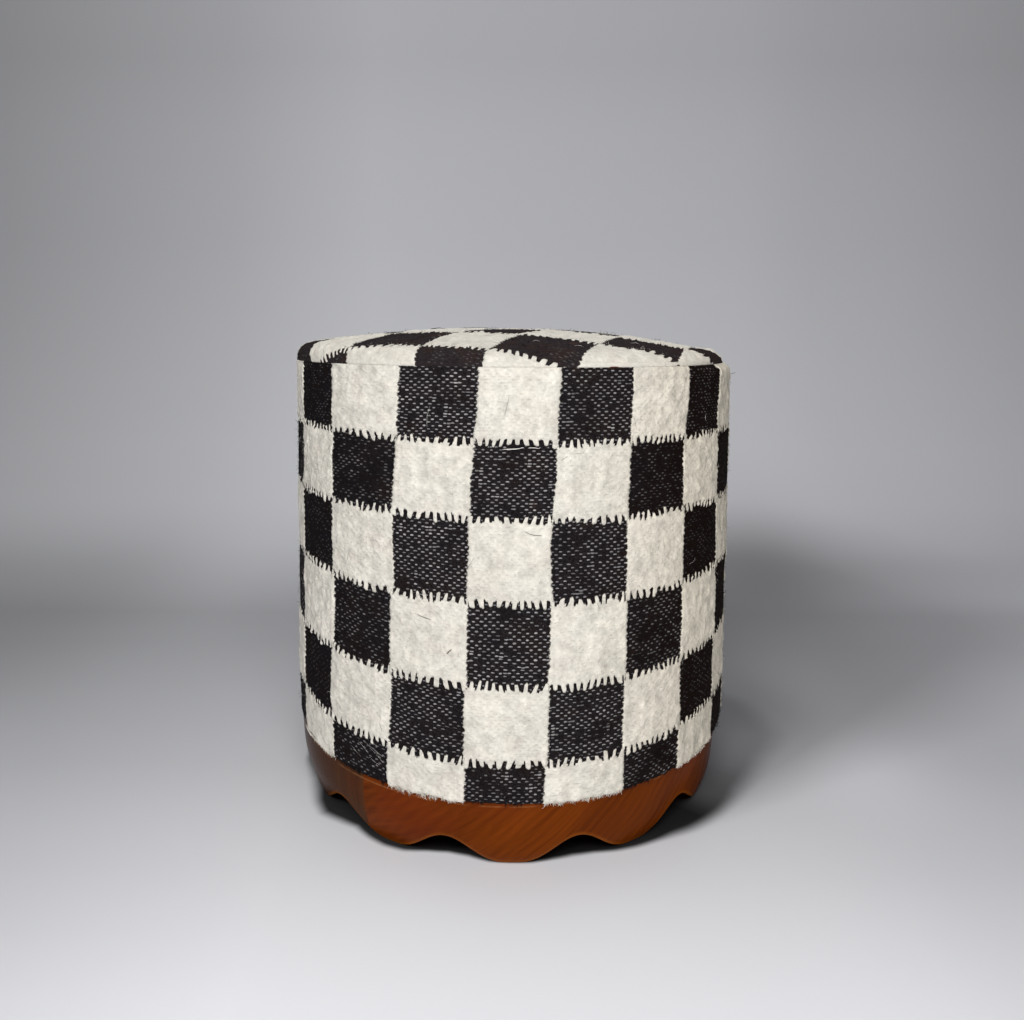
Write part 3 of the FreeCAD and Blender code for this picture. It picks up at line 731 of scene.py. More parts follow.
# how much warp shows in the black squares that face front, by row and column
# (column 0 lies between u = 0 and u = 1); the other squares vary at random
SHOW = {
    (0, 0): 0.14, (0, 2): 0.90, (0, 4): 0.70, (0, 6): 0.20,
    (1, 1): 0.30, (1, 3): 0.80, (1, 5): 0.18, (1, 7): 0.10,
    (2, 0): 0.08, (2, 2): 0.88, (2, 4): 0.72, (2, 6): 0.06,
    (3, 1): 0.38, (3, 3): 0.84, (3, 5): 0.40, (3, 7): 0.10,
    (4, 0): 0.08, (4, 2): 0.72, (4, 4): 0.74, (4, 6): 0.14,
    (5, 1): 0.42, (5, 3): 0.58, (5, 5): 0.42, (5, 7): 0.12,
}


def dash_show(u, v):
    """Field from the values of the squares, constant over each square."""
    r = np.random.default_rng(71)
    table = r.uniform(0.25, 0.85, (9, 24))
    for (row, col), x in SHOW.items():
        table[row, col + 8] = x
    cu = np.clip(np.floor(u).astype(int) + 8, 0, 23)
    cv = np.clip(np.floor(v).astype(int), 0, 8)
    return table[cv, cu]


def bake_rect(points_u, points_v, box):
    """Maps 0..1 x 0..1 into a box (x0, y0, x1, y1) of the bake map."""
    x0, y0, x1, y1 = box
    return np.stack([x0 + (x1 - x0) * points_u, y0 + (y1 - y0) * points_v], axis=-1)


def build_side_panel():
    us = np.arange(-274, 561) / 40.0
    us[0], us[-1] = -6.85, 14.0
    vs = np.concatenate([np.arange(3, 286) / 50.0, [5.78, 5.86, 5.95, 6.05, 6.18]])
    nr, nc = len(vs), len(us)
    V, U = np.meshgrid(vs, us, indexing="ij")
    theta = side_theta(U, V)
    H = side_level(theta, V)
    H[0] = Z_SEAM
    nub = 0.62 * blur_noise((nr, nc), 1.2, 1.0, 11) + 0.78 * blur_noise((nr, nc), 2.5, 1.9, 12)
    slub = blur_noise((nr, nc), 9.0, 0.8, 13)
    h, m, rel = weave_relief(U, V, nub, slub)
    # the padded drum isn't a perfect cylinder
    h = h + 0.45 * blur_noise((nr, nc), 40, 38, 14) + 0.18 * blur_noise((nr, nc), 11, 11, 15)
    # past the rolled lower edge the cloth lies flat under the drum
    low = np.clip((ROLL_Z - ROLL_R * 1.55 - H) / 3.0, 0, 1)
    h = h * (1 - low)
    # both ends turn in at the back seam
    end = np.maximum(np.clip(1 - (U - us[0]) / 0.045, 0, 1), np.clip(1 - (us[-1] - U) / 0.045, 0, 1))
    h = h * (1 - 0.8 * end) - 1.5 * end ** 2
    outer = side_point(theta, H, h)
    # inner face, eight times coarser
    ci = np.unique(np.concatenate([np.arange(0, nc, 8), [nc - 1]]))
    ri = np.unique(np.concatenate([np.arange(0, nr - 6, 12), np.nonzero((vs > 5.40) & (vs < 5.71))[0][::4], [nr - 1]]))
    inner = side_point(theta[np.ix_(ri, ci)], H[np.ix_(ri, ci)], 0.0, T_CLOTH)
    verts = np.concatenate([outer.reshape(-1, 3), inner.reshape(-1, 3)])
    n0 = nr * nc
    mi = len(ci)
    q_out = grid_quads(nr, nc)
    q_in = grid_quads(len(ri), mi, n0, flip=True)
    groups = {}

    def add_rim(fine, coarse):
        groups.setdefault(len(fine) + len(coarse), []).append(list(fine) + list(coarse))

    for k in range(mi - 1):                      # top and bottom edges
        a, b = ci[k], ci[k + 1]
        add_rim(list(range(a, b + 1)), [n0 + k + 1, n0 + k])
        base = (nr - 1) * nc
        ib = n0 + (len(ri) - 1) * mi
        add_rim(list(range(base + b, base + a - 1, -1)), [ib + k, ib + k + 1])
    for k in range(len(ri) - 1):                 # the two ends
        a, b = ri[k], ri[k + 1]
        add_rim([r * nc for r in range(b, a - 1, -1)], [n0 + k * mi, n0 + (k + 1) * mi])
        add_rim([r * nc + nc - 1 for r in range(a, b + 1)], [n0 + (k + 1) * mi + mi - 1, n0 + k * mi + mi - 1])
    faces = [q_out, q_in] + [np.array(x) for x in groups.values()]

    # UV maps
    weave_uv = np.stack([U, V], axis=-1).reshape(-1, 2)
    weave_in = np.stack(np.meshgrid(us[ci], vs[ri]), axis=-1).reshape(-1, 2)
    weave_all = np.concatenate([weave_uv, weave_in])
    half = nc // 2

    def bake_of(idx_faces, where):
        """Outer faces in two strips, one above the other; the rest in corners."""
        out = []
        uvw = weave_all[idx_faces]
        if where == "outer":
            cu = uvw[..., 0].mean(axis=1)
            left = cu < us[half]
            x = np.where(left[:, None], (uvw[..., 0] - us[0]) / (us[half] - us[0]), (uvw[..., 0] - us[half]) / (us[-1] - us[half]))
            y = (uvw[..., 1] - vs[0]) / (vs[-1] - vs[0])
            x = 0.002 + 0.996 * x
            y = np.where(left[:, None], 0.002 + 0.458 * y, 0.466 + 0.458 * y)
            return np.stack([x, y], axis=-1)
        x = (uvw[..., 0] - us[0]) / (us[-1] - us[0])
        y = (uvw[..., 1] - vs[0]) / (vs[-1] - vs[0])
        if where == "inner":
            return np.stack([0.002 + 0.996 * x, 0.930 + 0.045 * y], axis=-1)
        return np.stack([0.002 + 0.996 * x, 0.980 + 0.018 * y], axis=-1)

    bake = [bake_of(q_out, "outer"), bake_of(q_in, "inner")] + [bake_of(f_, "rim") for f_ in faces[2:]]
    weave = [weave_all[f_] for f_ in faces]
    ob = make_mesh("cover_side_panel_weave", verts, faces, {"weave": weave, "OFBake": bake})
    orient_outwards(ob)
    pad = np.zeros(len(ri) * mi)
    add_values(ob, relief=np.concatenate([rel.ravel(), pad]), dash=np.concatenate([dash_show(U, V).ravel(), pad]))
    return ob, (us, vs)


# -------------------------------------------------- the top panel's own shape
TOP_A, TOP_B, TOP_TWIST = -0.39274, 0.40429, 0.0476
EU = np.array([math.cos(TOP_A), math.sin(TOP_A)])
EV = np.array([math.sin(TOP_B), math.cos(TOP_B)])
# offsets of the squares' edges from the middle of the disc, mm
TOP_COL = np.array([-301.0, -240.0, -178.6, -117.6, -66.4, -1.4, 51.3, 116.7, 177.9, 239.0, 300.0])   # u = -3 .. 7
TOP_COL_U = np.arange(-3, 8)
TOP_ROW = np.array([-244.0, -183.1, -109.7, -48.0, 12.0, 74.0, 135.0, 197.0, 258.0])                # v = 0 .. 8
TOP_ROW_V = np.arange(0, 9)


def crown(phi):
    """Shoulder width and shoulder height at plan angle theta phi (degrees)."""
    p = np.radians(phi)
    right = 0.5 + 0.5 * np.sin(p)
    w = CROWN_W - 5.0 * (1 - right) ** 2 + 8.0 * right ** 2 - 1.5
    h1 = CROWN_H + 0.9 * (1 - right) - 3.2 * right ** 1.5
    return w, h1


def crown_tables(n_phi=72, n=260):
    """r and z along the crown by arc share (0 middle, 1 seam), for plan angles."""
    phis = np.arange(n_phi) * 360.0 / n_phi - 180.0
    share = np.linspace(0, 1, n)
    Rr = np.zeros((n_phi, n))
    Zz = np.zeros((n_phi, n))
    S = np.zeros(n_phi)
    apex = CROWN_H + CROWN_DOME
    for i, ph in enumerate(phis):
        w, h1 = crown(ph)
        edge = R_COVER - float(shoulder(ph))
        rw = edge - w
        r = np.concatenate([np.linspace(0, rw, 400), rw + w * np.sin(np.linspace(0, np.pi / 2, 120))[1:]])
        zz = np.where(r <= rw, Z_SEAM + h1 + (apex - h1) * (1 - np.minimum(r / rw, 1.0) ** 2.35), Z_SEAM + h1 * np.sqrt(np.maximum(0, 1 - ((r - rw) / w) ** 2)))
        # ease the crease where dome and shoulder meet
        s = np.concatenate([[0], np.cumsum(np.hypot(np.diff(r), np.diff(zz)))])
        S[i] = s[-1]
        rr = np.interp(share * s[-1], s, r)
        z2 = np.interp(share * s[-1], s, zz)
        k = np.exp(-0.5 * (np.arange(-14, 15) / 4.5) ** 2)
        k /= k.sum()
        pad = np.concatenate([np.full(14, z2[0]), z2, 2 * z2[-1] - z2[-2:-16:-1]])
        z2 = np.convolve(pad, k, mode="valid")
        z2[-1] = Z_SEAM
        Rr[i], Zz[i] = rr, z2
    return phis, share, Rr, Zz, S


PHIS, SHARE, CR, CZ, CS = crown_tables()
S_MEAN = float(CS.mean())


def top_point(q, h, inner=0.0):
    """q (.., 2) flat coordinates on the disc in mm, h height above its face."""
    d = np.hypot(q[..., 0], q[..., 1])
    share = np.clip(d / S_MEAN, 0, 1)
    ang = TOP_TWIST * share ** 4
    x = q[..., 0] * np.cos(ang) - q[..., 1] * np.sin(ang)
    y = q[..., 0] * np.sin(ang) + q[..., 1] * np.cos(ang)
    phi = np.degrees(np.arctan2(x, -y))
    pi_ = (phi + 180.0) / 360.0 * len(PHIS)
    i0 = np.floor(pi_).astype(int) % len(PHIS)
    i1 = (i0 + 1) % len(PHIS)
    fp = pi_ - np.floor(pi_)
    sx = share * (len(SHARE) - 1)
    j = np.clip(np.floor(sx).astype(int), 0, len(SHARE) - 2)
    fs = sx - j

    def look(T):
        a = T[i0, j] * (1 - fs) + T[i0, j + 1] * fs
        b = T[i1, j] * (1 - fs) + T[i1, j + 1] * fs
        return a * (1 - fp) + b * fp

    def slope(T):
        a = T[i0, j + 1] - T[i0, j]
        b = T[i1, j + 1] - T[i1, j]
        return a * (1 - fp) + b * fp

    r, z = look(CR), look(CZ)
    tr, tz = slope(CR), slope(CZ)
    tl = np.maximum(np.hypot(tr, tz), 1e-9)
    nr, nz = -tz / tl, tr / tl
    lip = np.clip((d - (S_MEAN - 1.2)) / 1.2, 0, 1)
    z = z - 0.02 * lip
    dd = h * (1 - 0.95 * lip) - inner * (1 - 0.45 * shoulder(phi) / 7.0 * Arr.ramp(d, S_MEAN - 10.0, S_MEAN))
    r, z = r + nr * dd, z + nz * dd
    th = np.radians(phi)
    P = np.stack([r * np.sin(th), -r * np.cos(th), z], axis=-1)
    N = np.stack([nr * np.sin(th), -nr * np.cos(th), nz], axis=-1)
    return P, N


def top_flat(u, v):
    U = np.interp(u, TOP_COL_U, TOP_COL)
    V = np.interp(v, TOP_ROW_V, TOP_ROW)
    return U[..., None] * EU + V[..., None] * EV


def top_weave(q):
    """(u, v) on the weave lattice of flat points q."""
    det = EU[0] * EV[1] - EU[1] * EV[0]
    U = (q[..., 0] * EV[1] - q[..., 1] * EV[0]) / det
    V = (EU[0] * q[..., 1] - EU[1] * q[..., 0]) / det
    return np.stack([np.interp(U, TOP_COL, TOP_COL_U), np.interp(V, TOP_ROW, TOP_ROW_V)], axis=-1)


def build_top_panel():
    us = np.arange(-2 * 40 - 30, 6 * 40 + 30) / 40.0
    vs = np.arange(0, 8 * 50) / 50.0
    nr, nc = len(vs), len(us)
    V, U = np.meshgrid(vs, us, indexing="ij")
    q = top_flat(U, V)
    d = np.hypot(q[..., 0], q[..., 1])
    S = S_MEAN
    ok = d <= S - 4.2
    cell = ok[:-1, :-1] & ok[1:, :-1] & ok[:-1, 1:] & ok[1:, 1:]
    nub = 0.62 * blur_noise((nr, nc), 1.2, 1.0, 21) + 0.78 * blur_noise((nr, nc), 2.5, 1.9, 22)
    slub = blur_noise((nr, nc), 9.0, 0.8, 23)
    soft = 0.5 * blur_noise((nr, nc), 38, 34, 24) + 0.20 * blur_noise((nr, nc), 12, 12, 25)
    h, _, rel = weave_relief(U, V, nub, slub, 0.55)
    h = h + soft
    used = np.zeros((nr, nc), bool)
    used[:-1, :-1] |= cell
    used[1:, :-1] |= cell
    used[:-1, 1:] |= cell
    used[1:, 1:] |= cell
    index = -np.ones((nr, nc), int)
    index[used] = np.arange(used.sum())
    flat = q[used]
    hh = h[used]
    i, j = np.nonzero(cell)
    # v runs away from the viewer and u to the right, so this order faces up
    quads = np.stack([index[i, j], index[i, j + 1], index[i + 1, j + 1], index[i + 1, j]], axis=1)
    # border of the lattice part
    e = np.concatenate([quads[:, [0, 1]], quads[:, [1, 2]], quads[:, [2, 3]], quads[:, [3, 0]]])
    es = np.sort(e, axis=1)
    uq, cnt = np.unique(es, axis=0, return_counts=True)
    border = uq[cnt == 1]
    bverts = np.unique(border)
    # rings towards the seam
    NR = 832
    ang = (np.arange(NR) + 0.5) / NR * 2 * np.pi
    rings_d = [S - 3.2, S - 2.1, S - 1.1, S]
    ring_flat = [np.stack([dd * np.cos(ang), dd * np.sin(ang)], axis=-1) for dd in rings_d]
    n_lat = len(flat)
    ring_start = [n_lat + k * NR for k in range(4)]
    all_flat = np.concatenate([flat] + ring_flat)
    hr = []
    for dd, rf in zip(rings_d, ring_flat):
        wv = top_weave(rf)
        hx, _, _ = weave_relief(wv[:, 0], wv[:, 1], np.zeros(NR), np.zeros(NR), 0.4)
        hr.append(hx * (0.8 if dd < S - 2.5 else 0.4))
    all_h = np.concatenate([hh] + hr)
    # constrained triangulation of the band
    pts2 = [Vector(x) for x in np.concatenate([flat[bverts], ring_flat[0]]).tolist()]
    lookup = {int(b): k for k, b in enumerate(bverts)}
    edges = [(lookup[int(a)], lookup[int(b)]) for a, b in border]
    nb = len(bverts)
    edges += [(nb + k, nb + (k + 1) % NR) for k in range(NR)]
    cv, ce, cf, ov, oe, of_ = geometry.delaunay_2d_cdt(pts2, edges, [], 0, 1e-6, True)
    real = [(int(bverts[o[0]]) if o[0] < nb else ring_start[0] + o[0] - nb) if o else -1 for o in ov]
    tris = []
    for f_ in cf:
        if len(f_) != 3:
            continue
        idx = [real[k] for k in f_]
        if min(idx) < 0:
            continue
        c = np.mean([cv[k] for k in f_], axis=0)
        if np.hypot(*c) > rings_d[0]:
            continue
        lat = top_weave(np.array(c))
        ci, cj = int(np.floor(lat[1] * 50)), int(np.floor((lat[0] - us[0]) * 40))
        if 0 <= ci < nr - 1 and 0 <= cj < nc - 1 and cell[ci, cj]:
            continue
        a, b, c3 = (all_flat[k] for k in idx)
        if (b[0] - a[0]) * (c3[1] - a[1]) - (b[1] - a[1]) * (c3[0] - a[0]) < 0:
            idx = idx[::-1]
        tris.append(idx)
    tris = np.array(tris)
    ringq = []
    k = np.arange(NR)
    k1 = (k + 1) % NR
    for r in range(3):
        a, b = ring_start[r], ring_start[r + 1]
        ringq.append(np.stack([a + k, b + k, b + k1, a + k1], axis=1))
    ringq = np.concatenate(ringq)
    outer, _ = top_point(all_flat, all_h)
    # inner face: coarse polar grid
    NI = NR // 8
    ia = ang[::8]
    dists = [S, S - 6, S - 14, S - 24, S - 40, S * 0.66, S * 0.45, S * 0.22]
    ifl = [np.stack([dd * np.cos(ia), dd * np.sin(ia)], axis=-1) for dd in dists] + [np.zeros((1, 2))]
    inner_flat = np.concatenate(ifl)
    inner, _ = top_point(inner_flat, np.zeros(len(inner_flat)), T_CLOTH)
    n0 = len(outer)
    kk = np.arange(NI)
    kk1 = (kk + 1) % NI
    inq = []
    for r in range(len(dists) - 1):
        a, b = n0 + r * NI, n0 + (r + 1) * NI
        inq.append(np.stack([a + kk, a + kk1, b + kk1, b + kk], axis=1)[:, ::-1])
    inq = np.concatenate(inq)[:, ::-1]
    last = n0 + (len(dists) - 1) * NI
    centre = n0 + len(dists) * NI
    fan = np.stack([last + kk1, last + kk, np.full(NI, centre)], axis=1)
    # rim: eight fine steps to one coarse one
    rim = []
    for s in range(NI):
        fine = [ring_start[3] + (s * 8 + t) % NR for t in range(9)]
        rim.append(fine[::-1] + [n0 + s, n0 + (s + 1) % NI])
    faces = [quads, tris, ringq, inq, fan, np.array(rim)]
    every_flat = np.concatenate([all_flat, inner_flat])
    wv = top_weave(every_flat)
    weave = [wv[f_] for f_ in faces]
    bake = []
    for n, f_ in enumerate(faces):
        p_ = every_flat[f_] / (2 * S + 2)
        if n < 3:
            bake.append(0.45 + p_ * 0.88)
        elif n < 5:
            bake.append(np.array([0.94, 0.94]) + p_ * 0.10)
        else:
            bake.append(np.array([0.06, 0.94]) + p_ * 0.10)
    ob = make_mesh("cover_top_panel_weave", np.concatenate([outer, inner]), faces, {"weave": weave, "OFBake": bake})
    orient_outwards(ob)
    rest = len(outer) + len(inner) - used.sum()
    show = np.full(len(outer) + len(inner), 0.16)
    add_values(ob, relief=np.concatenate([rel[used], np.zeros(rest)]), dash=show)
    return ob


side, (SIDE_U, SIDE_V) = build_side_panel()
top = build_top_panel()
side.data.materials.append(weave_material("flatweave_side"))
# on the top the painted light and shade by column are weaker
top.data.materials.append(weave_material("flatweave_top", dash_amount=0.8, black_lift=2.4, wool=0.7, brown=0.5, painted_side_shading=0.55, dark_tint=(1.06, 1.0, 0.92)))


# ================================================================ loose fibres
def tubes(paths, radii, normals, sides=3):
    """Closed thin tubes along paths (n, m, 3) with radii (n, m)."""
    n, m, _ = paths.shape
    d = paths[:, -1] - paths[:, 0]
    d /= np.maximum(np.linalg.norm(d, axis=1, keepdims=True), 1e-9)
    a = np.cross(d, normals)
    a /= np.maximum(np.linalg.norm(a, axis=1, keepdims=True), 1e-9)
    b = np.cross(a, d)
    ph = np.arange(sides) * 2 * np.pi / sides
    ring = a[:, None, :] * np.cos(ph)[None, :, None] + b[:, None, :] * np.sin(ph)[None, :, None]
    V = paths[:, :, None, :] + ring[:, None, :, :] * radii[:, :, None, None]
    verts = V.reshape(-1, 3)
    base = (np.arange(n) * m * sides)[:, None, None]
    k = np.arange(m - 1)[None, :, None] * sides
    s = np.arange(sides)[None, None, :]
    s1 = (s + 1) % sides
    q = np.stack([base + k + s, base + k + s1, base + k + sides + s1, base + k + sides + s], axis=-1).reshape(-1, 4)
    cap0 = (np.arange(n) * m * sides)[:, None] + np.arange(sides)[::-1][None, :]
    cap1 = (np.arange(n) * m * sides + (m - 1) * sides)[:, None] + np.arange(sides)[None, :]
    return verts, [q[:, ::-1], np.concatenate([cap0[:, ::-1], cap1[:, ::-1]])]


def surface_samples(n, seed):
    """Random places on the cover: point, outward normal, along-u tangent, colour mask."""
    r = np.random.default_rng(seed)
    share_side = 0.76
    ns = int(n * share_side)
    u = r.uniform(-6.8, 13.95, ns)
    v = r.uniform(0.10, 5.62, ns)
    th = side_theta(u, v)
    H = side_level(th, v)
    keep = H > Z_BOTTOM + 1.0
    u, v, th, H = u[keep], v[keep], th[keep], H[keep]
    hh, m, _ = weave_relief(u, v, np.zeros(len(u)), np.zeros(len(u)))
    P = side_point(th, H, hh)
    N = side_point(th, H, hh + 1.0) - P
    tu = np.stack([np.cos(np.radians(th)), np.sin(np.radians(th)), np.zeros(len(th))], axis=-1)
    nt = n - ns
    rad = np.sqrt(r.uniform(0, 1, nt)) * (S_MEAN - 2.0)
    an = r.uniform(0, 2 * np.pi, nt)
    q = np.stack([rad * np.cos(an), rad * np.sin(an)], axis=-1)
    wv = top_weave(q)
    h2, m2, _ = weave_relief(wv[:, 0], wv[:, 1], np.zeros(nt), np.zeros(nt), 0.55)
    P2, N2 = top_point(q, h2)
    t2 = np.cross(N2, np.tile([0.0, 1.0, 0.0], (nt, 1)))
    t2 /= np.linalg.norm(t2, axis=1, keepdims=True)
    return np.concatenate([P, P2]), np.concatenate([N, N2]), np.concatenate([tu, t2]), np.concatenate([m, m2])


def fuzz(name, n, seed, want_black, length, lift, radius):
    P, N, T, m = surface_samples(n, seed)
    pick = m > 0.97 if want_black else m < 0.03
    P, N, T = P[pick], N[pick], T[pick]
    r = np.random.default_rng(seed + 1)
    k = len(P)
    B = np.cross(N, T)
    a = r.uniform(0, 2 * np.pi, k)
    D = T * np.cos(a)[:, None] + B * np.sin(a)[:, None]
    E = np.cross(N, D)
    L = r.gamma(3.0, length / 3.0, k).clip(0.8, length * 2.2)
    up = r.gamma(2.0, lift / 2.0, k).clip(0.05, lift * 2.6)
    bend = r.normal(0, 0.35, k) * L
    wav = r.normal(0, 0.10, k) * L
    steps = 5
    s = np.linspace(0, 1, steps)
    loop = r.uniform(0.5, 1.5, k)[:, None]
    rise = np.sin(np.minimum(s[None, :] * loop, 1.0) * np.pi * 0.72)
    path = (P[:, None, :] - N[:, None, :] * 0.15
            + D[:, None, :] * (L[:, None] * s)[:, :, None]
            + N[:, None, :] * (up[:, None] * rise)[:, :, None]
            + E[:, None, :] * (bend[:, None] * s ** 2 + wav[:, None] * np.sin(s * 6.0))[:, :, None])
    rad = radius * r.uniform(0.6, 1.3, k)[:, None] * (1.0 - 0.65 * s)[None, :]
    verts, faces = tubes(path, rad, N)
    return make_mesh(name, verts, faces)


cream_fuzz = fuzz("cover_fuzz_cream", 15000, 31, False, 1.7, 1.00, 0.095)
black_fuzz = fuzz("cover_fuzz_black", 18000, 41, True, 2.6, 1.35, 0.115)
WOOL_CREAM = yarn_material("wool_fuzz_cream", (0.80, 0.76, 0.68), (0.62, 0.58, 0.51))
WOOL_BLACK = yarn_material("wool_fuzz_black", (0.0150, 0.0100, 0.0092), (0.0070, 0.0055, 0.0058), 0.04)
cream_fuzz.data.materials.append(WOOL_CREAM)
black_fuzz.data.materials.append(WOOL_BLACK)


def edge_tufts(name, n, seed, want_black):
    """Wool ends that hang over the wood along the rolled lower edge, in tufts."""
    r = np.random.default_rng(seed)
    tufts = r.uniform(-6.8, 13.95, n // 9)
    u = (np.repeat(tufts, 9) + r.normal(0, 0.012, len(tufts) * 9)).clip(-6.8, 13.95)
    k = len(u)
    H0 = r.uniform(50.2, 56.5, k)
    # the level v that lies at this height along the cloth
    th = side_theta(u, np.full(k, 5.5))
    v = 5.0 + (side_level(th, np.full(k, 5.0)) - H0) / 60.0
    th = side_theta(u, v)
    h, m, _ = weave_relief(u, v, np.zeros(k), np.zeros(k))
    pick = m > 0.9 if want_black else m < 0.1
    th, H0, h = th[pick], H0[pick], h[pick]
    k = len(th)
    P = side_point(th, H0, h - 0.1)
    N = side_point(th, H0, h + 0.9) - P
    T = np.stack([np.cos(np.radians(th)), np.sin(np.radians(th)), np.zeros(k)], axis=-1)
    down = np.array([0.0, 0.0, -1.0])
    L = r.gamma(4.0, 0.36, k).clip(0.6, 3.2) * (1.0 - 0.50 * Arr.ramp(np.abs(th), 25.0, 62.0))
    side = r.normal(0, 0.45, k) * L
    out = r.uniform(0.05, 0.5, k) * L
    s = np.linspace(0, 1, 5)
    path = (P[:, None, :] + down * (L[:, None] * s ** 1.2)[:, :, None] + N[:, None, :] * (out[:, None] * np.sin(s * 2.4))[:, :, None]
            + T[:, None, :] * (side[:, None] * s ** 1.6)[:, :, None])
    rad = 0.145 * r.uniform(0.6, 1.5, k)[:, None] * (1.0 - 0.45 * s)[None, :]
    verts, faces = tubes(path, rad, N)
    return make_mesh(name, verts, faces)


cream_tufts = edge_tufts("cover_edge_tufts_cream", 7200, 83, False)
black_tufts = edge_tufts("cover_edge_tufts_black", 3000, 85, True)
cream_tufts.data.materials.append(WOOL_CREAM)
black_tufts.data.materials.append(WOOL_BLACK)


def ease(points, n=28):
    """Rounded path through the points."""
    P = np.asarray(points, float)
    t = np.concatenate([[0], np.cumsum(np.linalg.norm(np.diff(P, axis=0), axis=1))])
    x = np.linspace(0, t[-1], n)
    Q = np.stack([np.interp(x, t, P[:, i]) for i in range(3)], axis=-1)
    for _ in range(6):
        Q[1:-1] = 0.25 * Q[:-2] + 0.5 * Q[1:-1] + 0.25 * Q[2:]
    return Q


def on_side(*pts):
    """(theta, height along the cloth, lift) to points."""
    a = np.array(pts, float)
    return side_point(a[:, 0], a[:, 1], a[:, 2])


def on_top(*pts):
    """(x, y, lift) on the flat disc to points on the crown."""
    a = np.array(pts, float)
    return top_point(a[:, :2], a[:, 2])[0]


def strands(name, items):
    """items: (points, radius) of single loose strands."""
    paths = np.array([ease(p_) for p_, _ in items])
    n = paths.shape[1]
    s = np.linspace(0, 1, n)
    rad = np.array([r_ for _, r_ in items])[:, None] * (1 - 0.75 * np.abs(2 * s - 1) ** 3)[None, :]
    mid = paths[:, n // 2]
    norms = np.where(mid[:, 2:3] > 385.0, np.array([[0.0, 0.0, 1.0]]), mid * np.array([1.0, 1.0, 0.0]))
    norms = norms / np.linalg.norm(norms, axis=1, keepdims=True)
    verts, faces = tubes(paths, rad, norms, 5)
    return make_mesh(name, verts, faces)


def loose_strands():
    r = np.random.default_rng(91)
    dark, light, brown = [], [], []
    # thin dark yarn standing off the crown, and a bright one beside it
    dark.append((on_top((-81, -12, 0.9), (-77, -11, 2.9), (-71, -11, 3.0), (-66, -11, 1.6), (-55, -11, 1.6), (-42, -11, 2.4), (-28, -11, 2.2), (-20, -11, 0.8)), 0.17))
    dark.append((on_top((-80, -14, 1.2), (-75, -13, 2.2), (-69, -13, 2.6), (-65, -13, 1.0)), 0.30))
    light.append((on_top((-96, -16, 0.9), (-80, -14, 1.2), (-60, -14, 1.5), (-40, -14, 1.6), (-24, -14, 1.0)), 0.42))
    # a long warp float, hairs lying on the squares, one hair off the right side
    light.append((on_side((-2.2, 318.0, 0.15), (-0.8, 318.4, 0.75), (0.9, 318.6, 0.7), (2.1, 319.6, 0.2)), 0.34))
    light.append((on_side((3.0, 319.2, 0.1), (4.2, 319.4, 0.55), (5.4, 318.7, 0.1)), 0.26))
    dark.append((on_side((2.2, 259.0, 0.7), (3.9, 256.4, 1.3), (6.3, 255.4, 0.9)), 0.17))
    dark.append((on_side((-20.2, 192.6, 0.6), (-18.6, 191.4, 1.2), (-16.9, 189.8, 0.7)), 0.20))
    dark.append((on_side((-13.6, 165.5, 0.5), (-13.0, 168.0, 1.0), (-12.5, 169.6, 0.5)), 0.30))
    dark.append((on_side((74.0, 366.0, 0.2), (76.5, 366.8, 2.4), (78.0, 367.2, 5.4)), 0.20))
    brown.append((on_side((19.6, 376.2, 0.4), (20.4, 377.0, 1.4), (21.8, 376.9, 1.5), (22.6, 375.9, 0.4)), 0.36))
    brown.append((on_side((19.9, 375.9, 0.3), (21.0, 376.4, 1.2), (22.2, 376.3, 0.6)), 0.30))
    # white hairs over the lowest black square left of the front
    for a, b, c, d in ((-35.0, 82.0, -29.0, 75.0), (-33.0, 79.0, -28.5, 75.5), (-39.0, 74.0, -35.5, 68.0), (-33.0, 71.0, -29.5, 67.5), (-32.0, 85.0, -30.0, 82.0), (-36.5, 80.0, -33.0, 73.0), (-31.5, 76.0, -29.0, 70.0)):
        light.append((on_side((a, b, -0.1), ((a + c) / 2 + r.normal(0, 0.6), (b + d) / 2 + r.normal(0, 1.0), 0.35), (c, d, -0.1)), 0.055))
    # a tuft of white wool at the left lower edge
    for _ in range(9):
        a = -61.5 + r.normal(0, 0.9)
        light.append((on_side((a, 56.0, 0.5), (a + r.normal(0, 0.7), 52.5, 1.6), (a + r.normal(0, 1.2), 50.5 + r.normal(0, 0.7), 2.6)) + np.array([0, 0, -1.0]), 0.28))
    # random ones all over
    for _ in range(90):
        th, H = r.uniform(-180, 180), r.uniform(60, 372)
        a = r.uniform(0, 2 * np.pi)
        L = r.gamma(3.0, 0.9) + 0.8
        dth, dH = np.degrees(L * math.cos(a) / R_COVER), L * math.sin(a)
        p_ = on_side((th - dth, H - dH, 0.35), (th + r.normal(0, 0.25), H + r.normal(0, 0.5), 0.8 + r.uniform(0, 0.5)), (th + dth, H + dH, 0.35))
        (dark if r.uniform() < 0.72 else light).append((p_, r.uniform(0.05, 0.09)))
    for _ in range(40):
        rad, a, b = math.sqrt(r.uniform(0, 1)) * 195, r.uniform(0, 2 * np.pi), r.uniform(0, 2 * np.pi)
        x, y, L = rad * math.cos(a), rad * math.sin(a), r.gamma(3.0, 1.6) + 1.5
        p_ = on_top((x - L * math.cos(b), y - L * math.sin(b), 0.5), (x + r.normal(0, 0.8), y + r.normal(0, 0.8), 1.3), (x + L * math.cos(b), y + L * math.sin(b), 0.5))
        (dark if r.uniform() < 0.5 else light).append((p_, r.uniform(0.05, 0.09)))
    return strands("loose_strands_dark", dark), strands("loose_strands_light", light), strands("loose_strands_brown", brown)


